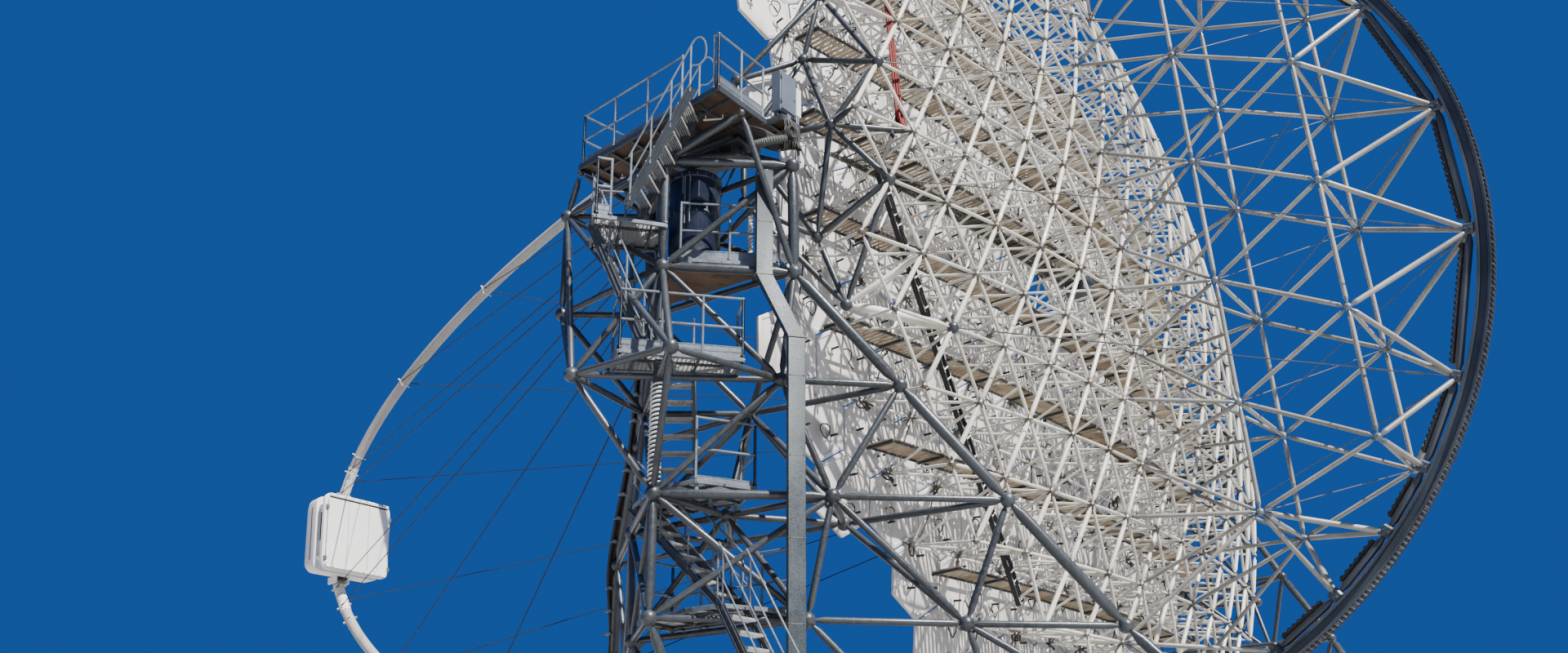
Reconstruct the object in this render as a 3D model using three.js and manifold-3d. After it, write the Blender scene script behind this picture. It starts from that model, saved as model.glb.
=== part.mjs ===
// Gamma-ray telescope with a segmented mirror dish, as a 1:2 scale model.
// Every size below is the real one in metres; MODEL turns it into model millimetres.
// Origin: ground level on the azimuth axis. +Z is up, +Y runs along the elevation axis
// to the far tower, and the parked dish looks along -X, a little below the horizon.
import * as THREE from 'three';
import { mergeVertices } from 'three/addons/utils/BufferGeometryUtils.js';
import Module from 'manifold-3d';

const wasm = await Module();
wasm.setup();
const { Manifold, Mesh } = wasm;

const MODEL = 500;
const GAP = 0.0006;
const SLIVER = 0.1;
const AXIS_HEIGHT = 15.0;
const PARK_TILT = THREE.MathUtils.degToRad(4.54);

// Ground rail, bogies and centre pivot
const RAIL_RADIUS = 11.2;
const RAIL_TOP = 0.36;
const RAIL_FOOT_WIDTH = 0.5;
const RAIL_HEAD_WIDTH = 0.16;
const FLANGE_THICKNESS = 0.08;
const PIVOT_RADIUS = 0.9;
const PIVOT_HEIGHT = 0.55;
const PIN_RADIUS = 0.3;
const PIN_TOP = 1.85;
const PIN_SIDES = 24;
const HALF_STEP = Math.PI / PIN_SIDES;
const BORE_RADIUS = 0.3035;
const SLEEVE_RADIUS = 0.62;
const WHEEL_RADIUS = 0.26;
const WHEEL_WIDTH = 0.14;
const WHEEL_SPREAD = 0.52;
const BOGIE_HALF_WIDTH = 0.26;
const BOGIE_HALF_LENGTH = 0.85;
const BASE_LEVEL = 1.3;
const BASE_TUBE = 0.26;
const BASE_HUB_HEIGHT = 0.7;
const BASE_HUB_RADIUS = 0.34;
const BASE_MIDDLE_HUB = 0.42;
const CORNER_X = 9.3;
const CORNER_Y = Math.sqrt(RAIL_RADIUS ** 2 - CORNER_X ** 2);

// Tower
const LEG_TUBE = 0.2;
const BRACE_TUBE = 0.12;
const TOWER_HUB = 0.27;
const BEARING_Y = 11.98;
const SEAT_LEVEL = 14.42;
const BLOCK_HALF = 0.27;
const BEARING_CAP_RADIUS = 0.55;
const PLATFORM_LEVEL = 14.6;
const PLATFORM_DEPTH = 0.12;
const DECK_DEPTH = 0.08;
const DECK_POST = 0.08;
const RAILING_HEIGHT = 1.1;
const RAILING_BAY = 1.7;
const RAILING_TUBE = 0.05;
const FLIGHT_WIDTH = 0.7;
const STRINGER_WIDTH = 0.06;
const STRINGER_HEIGHT = 0.26;
const STEP_RISE = 0.26;
const TREAD_DEPTH = 0.18;
const TREAD_THICKNESS = 0.035;
const DUCT_WIDTH = 0.3;
const DUCT_DEPTH = 0.15;
const HOUSING_RADIUS = 0.5;
const HOUSING_TOP = 13.62;

// Elevation drive
const ROLLER_RADIUS = 0.2;
const ROLLER_LENGTH = 0.56;
const ROLLER_PLACES = [1.55, 2.45];
const ROLLER_CLEARANCE = 0.1;

// Dish, in its own frame: x to the back, z up, origin on the elevation axis
const MIRROR_VERTEX = 0.85;
const FOCAL_LENGTH = 28;
const MIRROR_RADIUS = 11.15;
const MIRROR_THICKNESS = 0.12;
const MIRROR_HOLE_RADIUS = 0.35;
const BACK_LAYER_DEPTH = 3.8;
const BACK_LAYER_CURVE = 0.0125;
const LATTICE_PITCH = 3.7;
const LATTICE_ROW = LATTICE_PITCH * Math.sqrt(0.75);
const LATTICE_RADIUS = 11.25;
const LATTICE_TUBE = 0.09;
const LATTICE_HUB = 0.24;
const TRUNNION_Y = 11.2;
const TRUNNION_INNER_Y = 10.95;
const TRUNNION_OUTER_Y = 12.34;
const FLANGE_RADIUS = 0.46;
const FLANGE_Y = 11.25;
const FLANGE_DEPTH = 0.3;
const SIDE_HUB = 0.22;

// Wedge truss behind the dish
const WEDGE_TUBE = 0.1;
const WEDGE_HUB = 0.22;
const WEDGE_HALF_WIDTH = 1.54;
const WEDGE_INNER_X = 5.8;
const WEDGE_OUTER_X = 8.4;
const WEDGE_INNER_HEIGHTS = [-7, -4.5, -1.54, 1.54, 4.5, 7];
const WEDGE_OUTER_HEIGHTS = [-6, -3.08, 0, 3.08, 6];

// Arches and camera
const ARCH_NODE_RADIUS = 11.05;
const ARCH_RAIL_OUTER = 11.43;
const ARCH_RAIL_DEPTH = 0.34;
const ARCH_RAIL_WIDTH = 0.3;
const ARCH_CHORD = 0.18;
const ARCH_BLOCK_WIDTH = 0.26;
const ARCH_BLOCK_HALF_DEPTH = 0.15;
const ARCH_NODE_ANGLES = [8.1, 25.3, 35.9, 44, 52.9, 62, 71.5, 81, 90];
const FRONT_ARCH_REACH = 28.6;
const FRONT_ARCH_TUBE = 0.36;
const FRONT_ARCH_START = 1.3;
const CAMERA_SIZE = 2.9;
const CAMERA_DEPTH = 1.4;
const CAMERA_CHAMFER = 0.3;
const SHUTTER_DEPTH = 0.1;
const SHUTTER_INSET = 0.3;
const CAMERA_BACK = -FRONT_ARCH_REACH;
const CAMERA_FRONT = CAMERA_BACK + CAMERA_DEPTH;
const COLLAR_ANGLES = [18.5, 29.5, 44.5];
const COLLAR_SIZE = 0.5;
const STAY_DIAMETER = 0.035;
const STAY_ANCHOR_Y = 11.3;
const STAY_ANCHOR_Z = 1.4;

// Geometry helpers, all in real metres

function at(x, y, z) {
  return new THREE.Vector3(x, y, z);
}

function solid(geometry) {
  const bare = geometry.clone();
  bare.deleteAttribute('normal');
  bare.deleteAttribute('uv');
  bare.scale(MODEL, MODEL, MODEL);
  const merged = mergeVertices(bare, 1e-3);
  return new Manifold(new Mesh({
    numProp: 3,
    vertProperties: merged.attributes.position.array,
    triVerts: new Uint32Array(merged.index.array),
  }));
}

function union(parts) {
  return Manifold.union(parts).simplify(SLIVER);
}

// The main body that is left once its neighbours' grown shapes are cut away
function fitted(body, ...neighbours) {
  const rest = neighbours.reduce((left, neighbour) => left.subtract(neighbour), body);
  const main = rest.decompose().reduce((best, piece) => (piece.volume() > best.volume() ? piece : best));
  return main.simplify(SLIVER);
}

// A straight bar from a to b, lengthened at neither end
function bar(a, b, diameter, sides = 4) {
  const run = new THREE.Vector3().subVectors(b, a);
  const geometry = new THREE.CylinderGeometry(diameter / 2, diameter / 2, run.length(), sides);
  geometry.applyQuaternion(new THREE.Quaternion().setFromUnitVectors(at(0, 1, 0), run.clone().normalize()));
  geometry.translate(...new THREE.Vector3().addVectors(a, b).multiplyScalar(0.5).toArray());
  return solid(geometry);
}

// A node where tubes meet
function hub(centre, size) {
  return solid(new THREE.BoxGeometry(size, size, size).translate(...centre.toArray()));
}

function box(low, high) {
  const size = new THREE.Vector3().subVectors(high, low);
  const middle = new THREE.Vector3().addVectors(low, high).multiplyScalar(0.5);
  const geometry = new THREE.BoxGeometry(size.x, size.y, size.z);
  return solid(geometry.translate(...middle.toArray()));
}

// A flat bar of rectangular section, its height kept upright
function beam(a, b, width, height) {
  const run = new THREE.Vector3().subVectors(b, a);
  const geometry = new THREE.BoxGeometry(run.length(), width, height);
  const along = run.clone().normalize();
  const side = new THREE.Vector3().crossVectors(at(0, 0, 1), along).normalize();
  const top = new THREE.Vector3().crossVectors(along, side);
  geometry.applyMatrix4(new THREE.Matrix4().makeBasis(along, side, top));
  geometry.translate(...new THREE.Vector3().addVectors(a, b).multiplyScalar(0.5).toArray());
  return solid(geometry);
}

// An upright slab over a plan outline
function slab(outline, bottom, top) {
  const shape = new THREE.Shape(outline.map(([x, y]) => new THREE.Vector2(x, y)));
  const geometry = new THREE.ExtrudeGeometry(shape, { depth: top - bottom, bevelEnabled: false });
  return solid(geometry.translate(0, 0, bottom));
}

function mirrored(point, signs) {
  return at(point.x * signs.x, point.y * signs.y, point.z * signs.z);
}

// Scene graph

const steel = { color: 0x8a9299, roughness: 0.45, metalness: 0.7 };
const cream = { color: 0xd9d4c6, roughness: 0.5, metalness: 0.1 };
const white = { color: 0xe8e9e8, roughness: 0.35, metalness: 0.05 };
const slate = { color: 0x3c454d, roughness: 0.55, metalness: 0.5 };
const navy = { color: 0x1c2430, roughness: 0.4, metalness: 0.3 };
const concrete = { color: 0xa9a59d, roughness: 0.9, metalness: 0 };

const telescope = new THREE.Group();
const dish = new THREE.Group();
dish.position.set(0, 0, AXIS_HEIGHT * MODEL);
dish.rotation.y = -PARK_TILT;
telescope.add(dish);

// The corners of every edge shorter than SLIVER become one corner.
function welded(points, corners) {
  const joined = Array.from({ length: points.length / 3 }, (_, i) => i);
  const root = (i) => (joined[i] === i ? i : root(joined[i]));
  const place = (i) => new THREE.Vector3().fromArray(points, 3 * i);
  for (let i = 0; i < corners.length; i += 1) {
    const next = i % 3 === 2 ? i - 2 : i + 1;
    const [a, b] = [corners[i], corners[next]];
    if (place(a).distanceTo(place(b)) < SLIVER) joined[root(a)] = root(b);
  }
  const kept = [];
  for (let i = 0; i < corners.length; i += 3) {
    const [a, b, c] = [root(corners[i]), root(corners[i + 1]), root(corners[i + 2])];
    if (a !== b && b !== c && c !== a) kept.push(a, b, c);
  }
  return new Uint32Array(kept);
}

function geometryOf(body) {
  const mesh = body.getMesh();
  const points = mesh.vertProperties.slice();
  const geometry = new THREE.BufferGeometry();
  geometry.setAttribute('position', new THREE.BufferAttribute(points, 3));
  geometry.setIndex(new THREE.BufferAttribute(welded(points, mesh.triVerts), 1));
  return geometry;
}

// The mirror image in the XZ plane, with its faces turned back outwards
function toFarSide(body) {
  const geometry = geometryOf(body).scale(1, -1, 1);
  const corners = geometry.index.array;
  for (let i = 0; i < corners.length; i += 3) [corners[i], corners[i + 1]] = [corners[i + 1], corners[i]];
  return new Manifold(new Mesh({
    numProp: 3,
    vertProperties: geometry.attributes.position.array,
    triVerts: corners,
  }));
}

function addPiece(group, name, body, finish) {
  const geometry = geometryOf(body);
  geometry.computeVertexNormals();
  const piece = new THREE.Mesh(geometry, new THREE.MeshStandardMaterial(finish));
  piece.name = name;
  group.add(piece);
}

// Ground rail and centre pivot

function railRing() {
  const foot = RAIL_FOOT_WIDTH / 2;
  const head = RAIL_HEAD_WIDTH / 2;
  const profile = [
    [-foot, 0], [foot, 0], [foot, FLANGE_THICKNESS], [head, FLANGE_THICKNESS],
    [head, RAIL_TOP], [-head, RAIL_TOP], [-head, FLANGE_THICKNESS], [-foot, FLANGE_THICKNESS], [-foot, 0],
  ].map(([offset, height]) => new THREE.Vector2(RAIL_RADIUS + offset, height));
  const ring = new THREE.LatheGeometry(profile, 40);
  return solid(ring.rotateX(Math.PI / 2));
}

function upright(radius, bottom, top, sides, turn = 0) {
  const geometry = new THREE.CylinderGeometry(radius, radius, top - bottom, sides, 1, false, turn);
  return solid(geometry.rotateX(Math.PI / 2).translate(0, 0, (bottom + top) / 2));
}

function pivotBase() {
  return union([
    upright(PIVOT_RADIUS, 0, PIVOT_HEIGHT, 24),
    upright(PIN_RADIUS, PIVOT_HEIGHT - 0.1, PIN_TOP, PIN_SIDES),
  ]);
}

// Base frame: a hexagon of tubes on six bogies, with spokes to the pivot sleeve

const baseCorners = [
  [CORNER_X, -CORNER_Y], [CORNER_X, CORNER_Y], [0, RAIL_RADIUS],
  [-CORNER_X, CORNER_Y], [-CORNER_X, -CORNER_Y], [0, -RAIL_RADIUS],
].map(([x, y]) => at(x, y, BASE_LEVEL));
const baseMiddles = baseCorners.map((corner, i) =>
  new THREE.Vector3().addVectors(corner, baseCorners[(i + 1) % 6]).multiplyScalar(0.5));

function baseHub(point, grow) {
  const height = BASE_HUB_HEIGHT / 2 + grow;
  const radius = BASE_HUB_RADIUS + grow;
  const drum = new THREE.CylinderGeometry(radius, radius, 2 * height, 8);
  return solid(drum.rotateX(Math.PI / 2).translate(point.x, point.y, point.z));
}

function baseFrame(grow = 0) {
  const parts = [];
  for (let i = 0; i < 6; i += 1) {
    parts.push(baseHub(baseCorners[i], grow), hub(baseMiddles[i], BASE_MIDDLE_HUB + 2 * grow));
    parts.push(bar(baseCorners[i], baseCorners[(i + 1) % 6], BASE_TUBE + 2 * grow));
    parts.push(bar(at(0, 0, BASE_LEVEL), baseCorners[i], LEG_TUBE + 2 * grow));
  }
  parts.push(bar(at(0, 0, BASE_LEVEL), baseMiddles[0], LEG_TUBE + 2 * grow));
  const sleeve = upright(SLEEVE_RADIUS + grow, PIVOT_HEIGHT + 0.02 - grow, PIN_TOP - 0.1 + grow, PIN_SIDES);
  const bore = upright(BORE_RADIUS, 0, PIN_TOP + 1, PIN_SIDES, HALF_STEP);
  return union([...parts, sleeve]).subtract(bore);
}

function bogie() {
  const top = BASE_LEVEL - BASE_HUB_HEIGHT / 2 - GAP;
  const axle = RAIL_TOP + 0.001 + WHEEL_RADIUS;
  const low = at(-BOGIE_HALF_WIDTH, -BOGIE_HALF_LENGTH, axle + 0.06);
  const parts = [box(low, at(BOGIE_HALF_WIDTH, BOGIE_HALF_LENGTH, top))];
  for (const y of [-WHEEL_SPREAD, WHEEL_SPREAD]) {
    const wheel = new THREE.CylinderGeometry(WHEEL_RADIUS, WHEEL_RADIUS, WHEEL_WIDTH, 12);
    parts.push(solid(wheel.rotateZ(Math.PI / 2).translate(0, y, axle)));
  }
  return union(parts);
}

// Towers: a double-layer truss on a V plan. Nodes are those of the near tower; a name ending in
// R has a mirror image ending in L. The far tower is the near one mirrored in the XZ plane.

const towerNodes = {
  P0: baseCorners[5], P3R: baseCorners[0], MR: baseMiddles[5],
  A0: at(0, -13.5, 5.26), A1R: at(1.95, -11.8, 5.26), A2R: at(3.86, -9.93, 5.26), A3R: at(5.9, -8.14, 5.26),
  B0: at(0, -13.5, 7.35), B1R: at(2.3, -11.55, 7.35), B2R: at(4.55, -9.57, 7.35),
  Bi: at(0, -11.55, 7.35),
  C0R: at(1.13, -14.44, 9.43), C1R: at(1.6, -12.07, 9.43), C2R: at(3.1, -10.6, 9.43),
  Ci: at(0, -10.9, 9.43),
  D0: at(0, -13.45, 11.51), D1R: at(1.72, -11.85, 11.51), D2L: at(-3.05, -12.92, 11.51),
  E0: at(0, -13.45, 13.59), E1R: at(1.75, -11.95, 13.59), E2L: at(-3.05, -12.92, 13.59),
  HR: at(0.6, -BEARING_Y, 14.2), S: at(1.35, -12.95, 14.35), T: at(-2.7, -12.96, 14.42),
};

const LEG_MEMBERS = 'P3R-A3R A3R-B2R B2R-C2R C2R-D1R D1R-E1R P0-A0 A0-B0 B0-D0 D0-E0';
const BRACE_MEMBERS = [
  'P3R-A2R MR-A2R MR-A1R P0-A1R A0-A1R A1R-A2R A2R-A3R A1R-A1L A2R-B2R A2R-B1R A1R-B1R A1R-B0',
  'B0-B1R B1R-B2R B0-Bi Bi-B1R B1R-C2R B1R-C1R B0-C1R B0-C0R C0R-C0L C0R-C1R C0L-C1R C1R-C2R',
  'Ci-C1R Ci-C2R Ci-Bi D0-C1R D0-D1R D1R-D1L D0-E1R E0-E1R E1R-E1L HR-HL E1R-HR',
  'D2L-C0L D2L-D1L D2L-E2L D2L-D0 E2L-D0 E2L-S D1R-S E2L-T',
].join(' ');

function towerNode(name) {
  if (towerNodes[name]) return towerNodes[name];
  return mirrored(towerNodes[name.replace(/L$/, 'R')], at(-1, 1, 1));
}

function bothSides(list) {
  const swap = { R: 'L', L: 'R' };
  const pairs = new Set();
  for (const member of list.split(' ')) {
    const ends = member.split('-');
    pairs.add(ends.slice().sort().join('-'));
    const leftOnly = ends.some((end) => ['D2L', 'E2L', 'T', 'S'].includes(end));
    const other = ends.map((end) => end.replace(/[RL]$/, (side) => swap[side])).sort();
    if (!leftOnly) pairs.add(other.join('-'));
  }
  return [...pairs].map((pair) => pair.split('-'));
}

function tower(grow = 0) {
  const parts = [];
  const used = new Set();
  const lay = (list, diameter, sides) => {
    for (const [a, b] of bothSides(list)) {
      parts.push(bar(towerNode(a), towerNode(b), diameter + 2 * grow, sides));
      used.add(a).add(b);
    }
  };
  lay(LEG_MEMBERS, LEG_TUBE, 4);
  lay(BRACE_MEMBERS, BRACE_TUBE, 3);
  for (const name of used) {
    if (!/^[PM]/.test(name)) parts.push(hub(towerNode(name), TOWER_HUB + 2 * grow));
  }
  parts.push(box(at(-0.7, -BEARING_Y - 0.3, 14.1), at(0.7, -BEARING_Y + 0.26, SEAT_LEVEL + grow)));
  return union(parts);
}

// Bearing block with the bore for the dish's trunnion
function bearingBlock() {
  const low = at(-0.5, -BEARING_Y - BLOCK_HALF, SEAT_LEVEL + GAP);
  const high = at(0.5, -BEARING_Y + BLOCK_HALF, AXIS_HEIGHT);
  const cap = new THREE.CylinderGeometry(BEARING_CAP_RADIUS, BEARING_CAP_RADIUS, 2 * BLOCK_HALF, 16);
  cap.translate(0, -BEARING_Y, AXIS_HEIGHT);
  const bore = new THREE.CylinderGeometry(BORE_RADIUS, BORE_RADIUS, 2, PIN_SIDES, 1, false, HALF_STEP);
  bore.translate(0, -BEARING_Y, AXIS_HEIGHT);
  return union([box(low, high), solid(cap)]).subtract(solid(bore));
}

// Platforms, railings and stairs of the near tower

function railing(path, level, grow = 0) {
  const parts = [];
  const tube = RAILING_TUBE + 2 * grow;
  for (let i = 0; i + 1 < path.length; i += 1) {
    const [from, to] = [at(...path[i], level), at(...path[i + 1], level)];
    for (const height of [RAILING_HEIGHT, RAILING_HEIGHT / 2]) {
      const lift = at(0, 0, height);
      parts.push(beam(from.clone().add(lift), to.clone().add(lift), tube, tube));
    }
    const bays = Math.max(1, Math.round(from.distanceTo(to) / RAILING_BAY));
    const half = 0.03 + grow;
    for (let k = 0; k <= bays; k += 1) {
      const foot = new THREE.Vector3().lerpVectors(from, to, k / bays);
      const low = foot.clone().add(at(-half, -half, -0.05));
      parts.push(box(low, foot.clone().add(at(half, half, RAILING_HEIGHT + 0.025 + grow))));
    }
  }
  return parts;
}

// A deck plate over an outline, widened from its middle when grown
function deckPlate(outline, level, depth, grow) {
  const total = [0, 1].map((axis) => outline.reduce((sum, corner) => sum + corner[axis], 0));
  const middle = total.map((sum) => sum / outline.length);
  const spread = 1 + 3 * grow;
  const moved = (value, axis) => middle[axis] + (value - middle[axis]) * spread;
  const wide = outline.map((corner) => corner.map(moved));
  return slab(wide, level - depth - grow, level + grow);
}

function flight(bottom, top) {
  const run = new THREE.Vector3().subVectors(top, bottom);
  const side = new THREE.Vector3(-run.y, run.x, 0).normalize().multiplyScalar(FLIGHT_WIDTH / 2);
  const parts = [];
  for (const sign of [-1, 1]) {
    const offset = side.clone().multiplyScalar(sign);
    parts.push(beam(bottom.clone().add(offset), top.clone().add(offset), STRINGER_WIDTH, STRINGER_HEIGHT));
  }
  const steps = Math.round(run.z / STEP_RISE);
  for (let i = 1; i < steps; i += 1) {
    const middle = new THREE.Vector3().lerpVectors(bottom, top, i / steps);
    parts.push(beam(middle.clone().sub(side), middle.clone().add(side), TREAD_DEPTH, TREAD_THICKNESS));
  }
  return union(parts);
}

// A box along a run, its thin side turned to the given facing
function plank(a, b, width, depth, facing) {
  const run = new THREE.Vector3().subVectors(b, a);
  const along = run.clone().normalize();
  const side = new THREE.Vector3().crossVectors(facing, along).normalize();
  const out = new THREE.Vector3().crossVectors(along, side);
  const geometry = new THREE.BoxGeometry(run.length() + 0.1, width, depth);
  geometry.applyMatrix4(new THREE.Matrix4().makeBasis(along, side, out));
  geometry.translate(...new THREE.Vector3().addVectors(a, b).multiplyScalar(0.5).toArray());
  return solid(geometry);
}

function cableDuct() {
  const facing = at(0.75, -0.65, 0);
  const route = [
    at(1.42, -12.35, 13.4), at(1.42, -12.35, 11.35),
    at(2.05, -12.25, 10.05), at(2.05, -12.25, 1.6),
  ];
  const parts = [];
  for (let i = 0; i < 3; i += 1) {
    parts.push(plank(route[i], route[i + 1], DUCT_WIDTH, DUCT_DEPTH, facing));
  }
  parts.push(bar(at(1.42, -12.35, 11.51), at(1.31, -12.23, 11.51), 0.08, 4));
  parts.push(bar(at(2.05, -12.25, 7.35), at(1.81, -11.966, 7.35), 0.08, 4));
  parts.push(bar(at(2.05, -12.25, 5.26), at(1.784, -11.945, 5.26), 0.08, 4));
  return union(parts);
}

const TOP_OUTLINE = [
  [-2.73, -12.98], [1.35, -13.6], [1.3, -12.15], [1.66, -12.15], [1.66, -11.62], [-2.6, -11.62],
];

function topPlatform(grow = 0) {
  const plate = deckPlate(TOP_OUTLINE, PLATFORM_LEVEL, PLATFORM_DEPTH, grow);
  const left = railing([[-2.55, -11.66], [-2.68, -12.94], [0.3, -13.4]], PLATFORM_LEVEL, grow);
  const right = railing([[1.18, -13.53], [1.3, -13.55], [1.25, -12.2]], PLATFORM_LEVEL, grow);
  const around = box(at(-0.62, -BEARING_Y - 0.34, 14), at(0.62, -11, 16));
  return union([plate, ...left, ...right]).subtract(around);
}

const BALCONY_LEVEL = 9.75;
const BALCONY_OUTLINE = [[-0.19, -14.28], [1.24, -12.64], [0.66, -12.08], [-0.96, -13.67]];
const LANDING_LEVEL = 12.3;
const LANDING_OUTLINE = [[-0.66, -14.56], [0.11, -13.48], [-0.69, -12.78], [-1.62, -13.66]];
const HOUSING_DECK_LEVEL = 11.75;
const HOUSING_DECK_OUTLINE = [[0, -13.3], [1.5, -11.85], [1.5, -11.78], [-1.5, -11.78], [-1.5, -11.85]];
const MIDDLE_LEVEL = 7.6;
const MIDDLE_OUTLINE = [
  [-1.5, -12.4], [-0.4, -13.1], [0.6, -13.1], [1.1, -12.1], [0.3, -11.5], [-1.5, -11.5],
];
const LOWER_LEVEL = 5.45;
const LOWER_OUTLINE = [
  [-1.2, -12.5], [0.4, -13.05], [1.15, -13.05], [1.6, -12.1], [1.6, -11.6], [-1.2, -11.6],
];

// A deck with its railing, on posts that each stand on a tube of the tower
function deck({ outline, level, rails, spots, tubeLevel }, grow = 0) {
  const post = DECK_POST + 2 * grow;
  const posts = spots.map(([x, y]) => bar(at(x, y, level - DECK_DEPTH / 2), at(x, y, tubeLevel), post, 4));
  return union([deckPlate(outline, level, DECK_DEPTH, grow), ...railing(rails, level, grow), ...posts]);
}

const deckPlans = {
  balcony: {
    outline: BALCONY_OUTLINE, level: BALCONY_LEVEL, tubeLevel: 9.43,
    rails: [[-0.19, -14.24], [1.2, -12.64], [0.66, -12.12]], spots: [[0.2, -13.285], [0.9, -12.678]],
  },
  stair_landing: {
    outline: LANDING_OUTLINE, level: LANDING_LEVEL, tubeLevel: 11.51,
    rails: [[0.07, -13.48], [-0.69, -12.82]], spots: [[-0.9, -13.29], [-1.4, -13.2], [-0.72, -12.8]],
  },
  housing_deck: {
    outline: HOUSING_DECK_OUTLINE, level: HOUSING_DECK_LEVEL, tubeLevel: 11.51,
    rails: [[0.12, -13.12], [1.4, -11.9]], spots: [[0.8, -11.85], [-0.8, -11.85], [0.35, -13.124]],
  },
  middle_deck: {
    outline: MIDDLE_OUTLINE, level: MIDDLE_LEVEL, tubeLevel: 7.35,
    rails: [[0.55, -13.06], [1.06, -12.1], [0.3, -11.54]],
    spots: [[-1, -11.55], [0, -12], [0.55, -13.034], [-0.55, -13.034]],
  },
  lower_deck: {
    outline: LOWER_OUTLINE, level: LOWER_LEVEL, tubeLevel: 5.26,
    rails: [[1.56, -11.64], [-1.16, -11.64], [-1.16, -12.46]],
    spots: [[-1, -11.8], [1, -11.8], [0.95, -12.672]],
  },
};

function driveHousing() {
  const height = HOUSING_TOP - HOUSING_DECK_LEVEL - GAP;
  const drum = new THREE.CylinderGeometry(HOUSING_RADIUS, HOUSING_RADIUS, height, 20);
  return solid(drum.rotateX(Math.PI / 2).translate(-0.05, -12.55, HOUSING_DECK_LEVEL + GAP + height / 2));
}

function controlCabinet() {
  return box(at(1.38, -12.12, PLATFORM_LEVEL + GAP), at(1.64, -11.64, 15.6));
}

// Elevation drive: a saddle on the rear spoke that carries the rollers under the toothed arch
function elevationDrive() {
  const parts = [box(at(1.15, -0.5, 1.2), at(2.85, 0.5, 2.1)), box(at(1.3, -0.4, 2), at(2.7, 0.4, 2.75))];
  for (const y of [-0.34, 0.26]) parts.push(box(at(1.25, y, 2.5), at(2.75, y + 0.08, 3.45)));
  const reach = ARCH_RAIL_OUTER + ROLLER_CLEARANCE + ROLLER_RADIUS;
  for (const x of ROLLER_PLACES) {
    const z = AXIS_HEIGHT - Math.sqrt(reach ** 2 - x ** 2);
    const roller = new THREE.CylinderGeometry(ROLLER_RADIUS, ROLLER_RADIUS, ROLLER_LENGTH, 14);
    parts.push(solid(roller.translate(x, 0, z)));
  }
  return union(parts);
}

// Dish, in its own frame

function backLayer(y, z) {
  return at(BACK_LAYER_DEPTH - BACK_LAYER_CURVE * (y * y + z * z), y, z);
}

function mirrorX(radius) {
  return MIRROR_VERTEX - radius ** 2 / (4 * FOCAL_LENGTH);
}

// One quarter of the mirror as a curved plate with a stepped round rim
function mirrorPlate(quarter, grow = 0) {
  const rings = 3;
  const front = [];
  const back = [];
  for (let i = 0; i <= rings; i += 1) {
    const radius = Math.max(MIRROR_HOLE_RADIUS, (MIRROR_RADIUS * i) / rings);
    front.push(new THREE.Vector2(radius, mirrorX(radius) - grow));
    back.push(new THREE.Vector2(radius, mirrorX(radius) + MIRROR_THICKNESS + grow));
  }
  const profile = [...front, ...back.reverse(), front[0]];
  const ring = new THREE.LatheGeometry(profile, 24);
  const plate = solid(ring.rotateZ(-Math.PI / 2));
  const reach = 2 * MIRROR_RADIUS;
  const low = at(-5, quarter % 2 ? GAP / 2 : -reach, quarter < 2 ? GAP / 2 : -reach);
  const high = at(5, quarter % 2 ? reach : -GAP / 2, quarter < 2 ? reach : -GAP / 2);
  return grow ? plate : plate.intersect(box(low, high));
}

function latticeNodes() {
  const nodes = new Map();
  for (let row = -5; row <= 5; row += 1) {
    for (let column = -5; column <= 5; column += 1) {
      const y = LATTICE_PITCH * (column + (row % 2 ? 0.5 : 0));
      const z = LATTICE_ROW * row;
      const half = Math.round(2 * y / LATTICE_PITCH);
      if (Math.hypot(y, z) <= LATTICE_RADIUS) nodes.set(`${row},${half}`, backLayer(y, z));
    }
  }
  return nodes;
}

// Back layer of hubs and chords, with a web of three bars from each foot on the mirror's back
function dishLattice(grow = 0) {
  const nodes = latticeNodes();
  const parts = [...nodes.values()].map((node) => hub(node, LATTICE_HUB + 2 * grow));
  const tube = LATTICE_TUBE + 2 * grow;
  const lookup = (row, half) => nodes.get(`${row},${half}`);
  for (const [key, node] of nodes) {
    const [row, half] = key.split(',').map(Number);
    for (const [dRow, dHalf] of [[0, 2], [1, 1], [1, -1]]) {
      const other = lookup(row + dRow, half + dHalf);
      if (other) parts.push(bar(node, other, tube, 3));
    }
    const corners = [node, lookup(row, half + 2), lookup(row + 1, half + 1)];
    if (corners.every(Boolean)) parts.push(...webFoot(corners, grow));
  }
  return union(parts);
}

function webFoot(corners, grow) {
  const middle = corners.reduce((sum, corner) => sum.add(corner), at(0, 0, 0)).divideScalar(3);
  const radius = Math.hypot(middle.y, middle.z);
  const foot = at(mirrorX(radius) + MIRROR_THICKNESS + 0.1, middle.y, middle.z);
  const tube = LATTICE_TUBE + 2 * grow;
  return [hub(foot, LATTICE_HUB + 2 * grow), ...corners.map((corner) => bar(foot, corner, tube, 3))];
}

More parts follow.
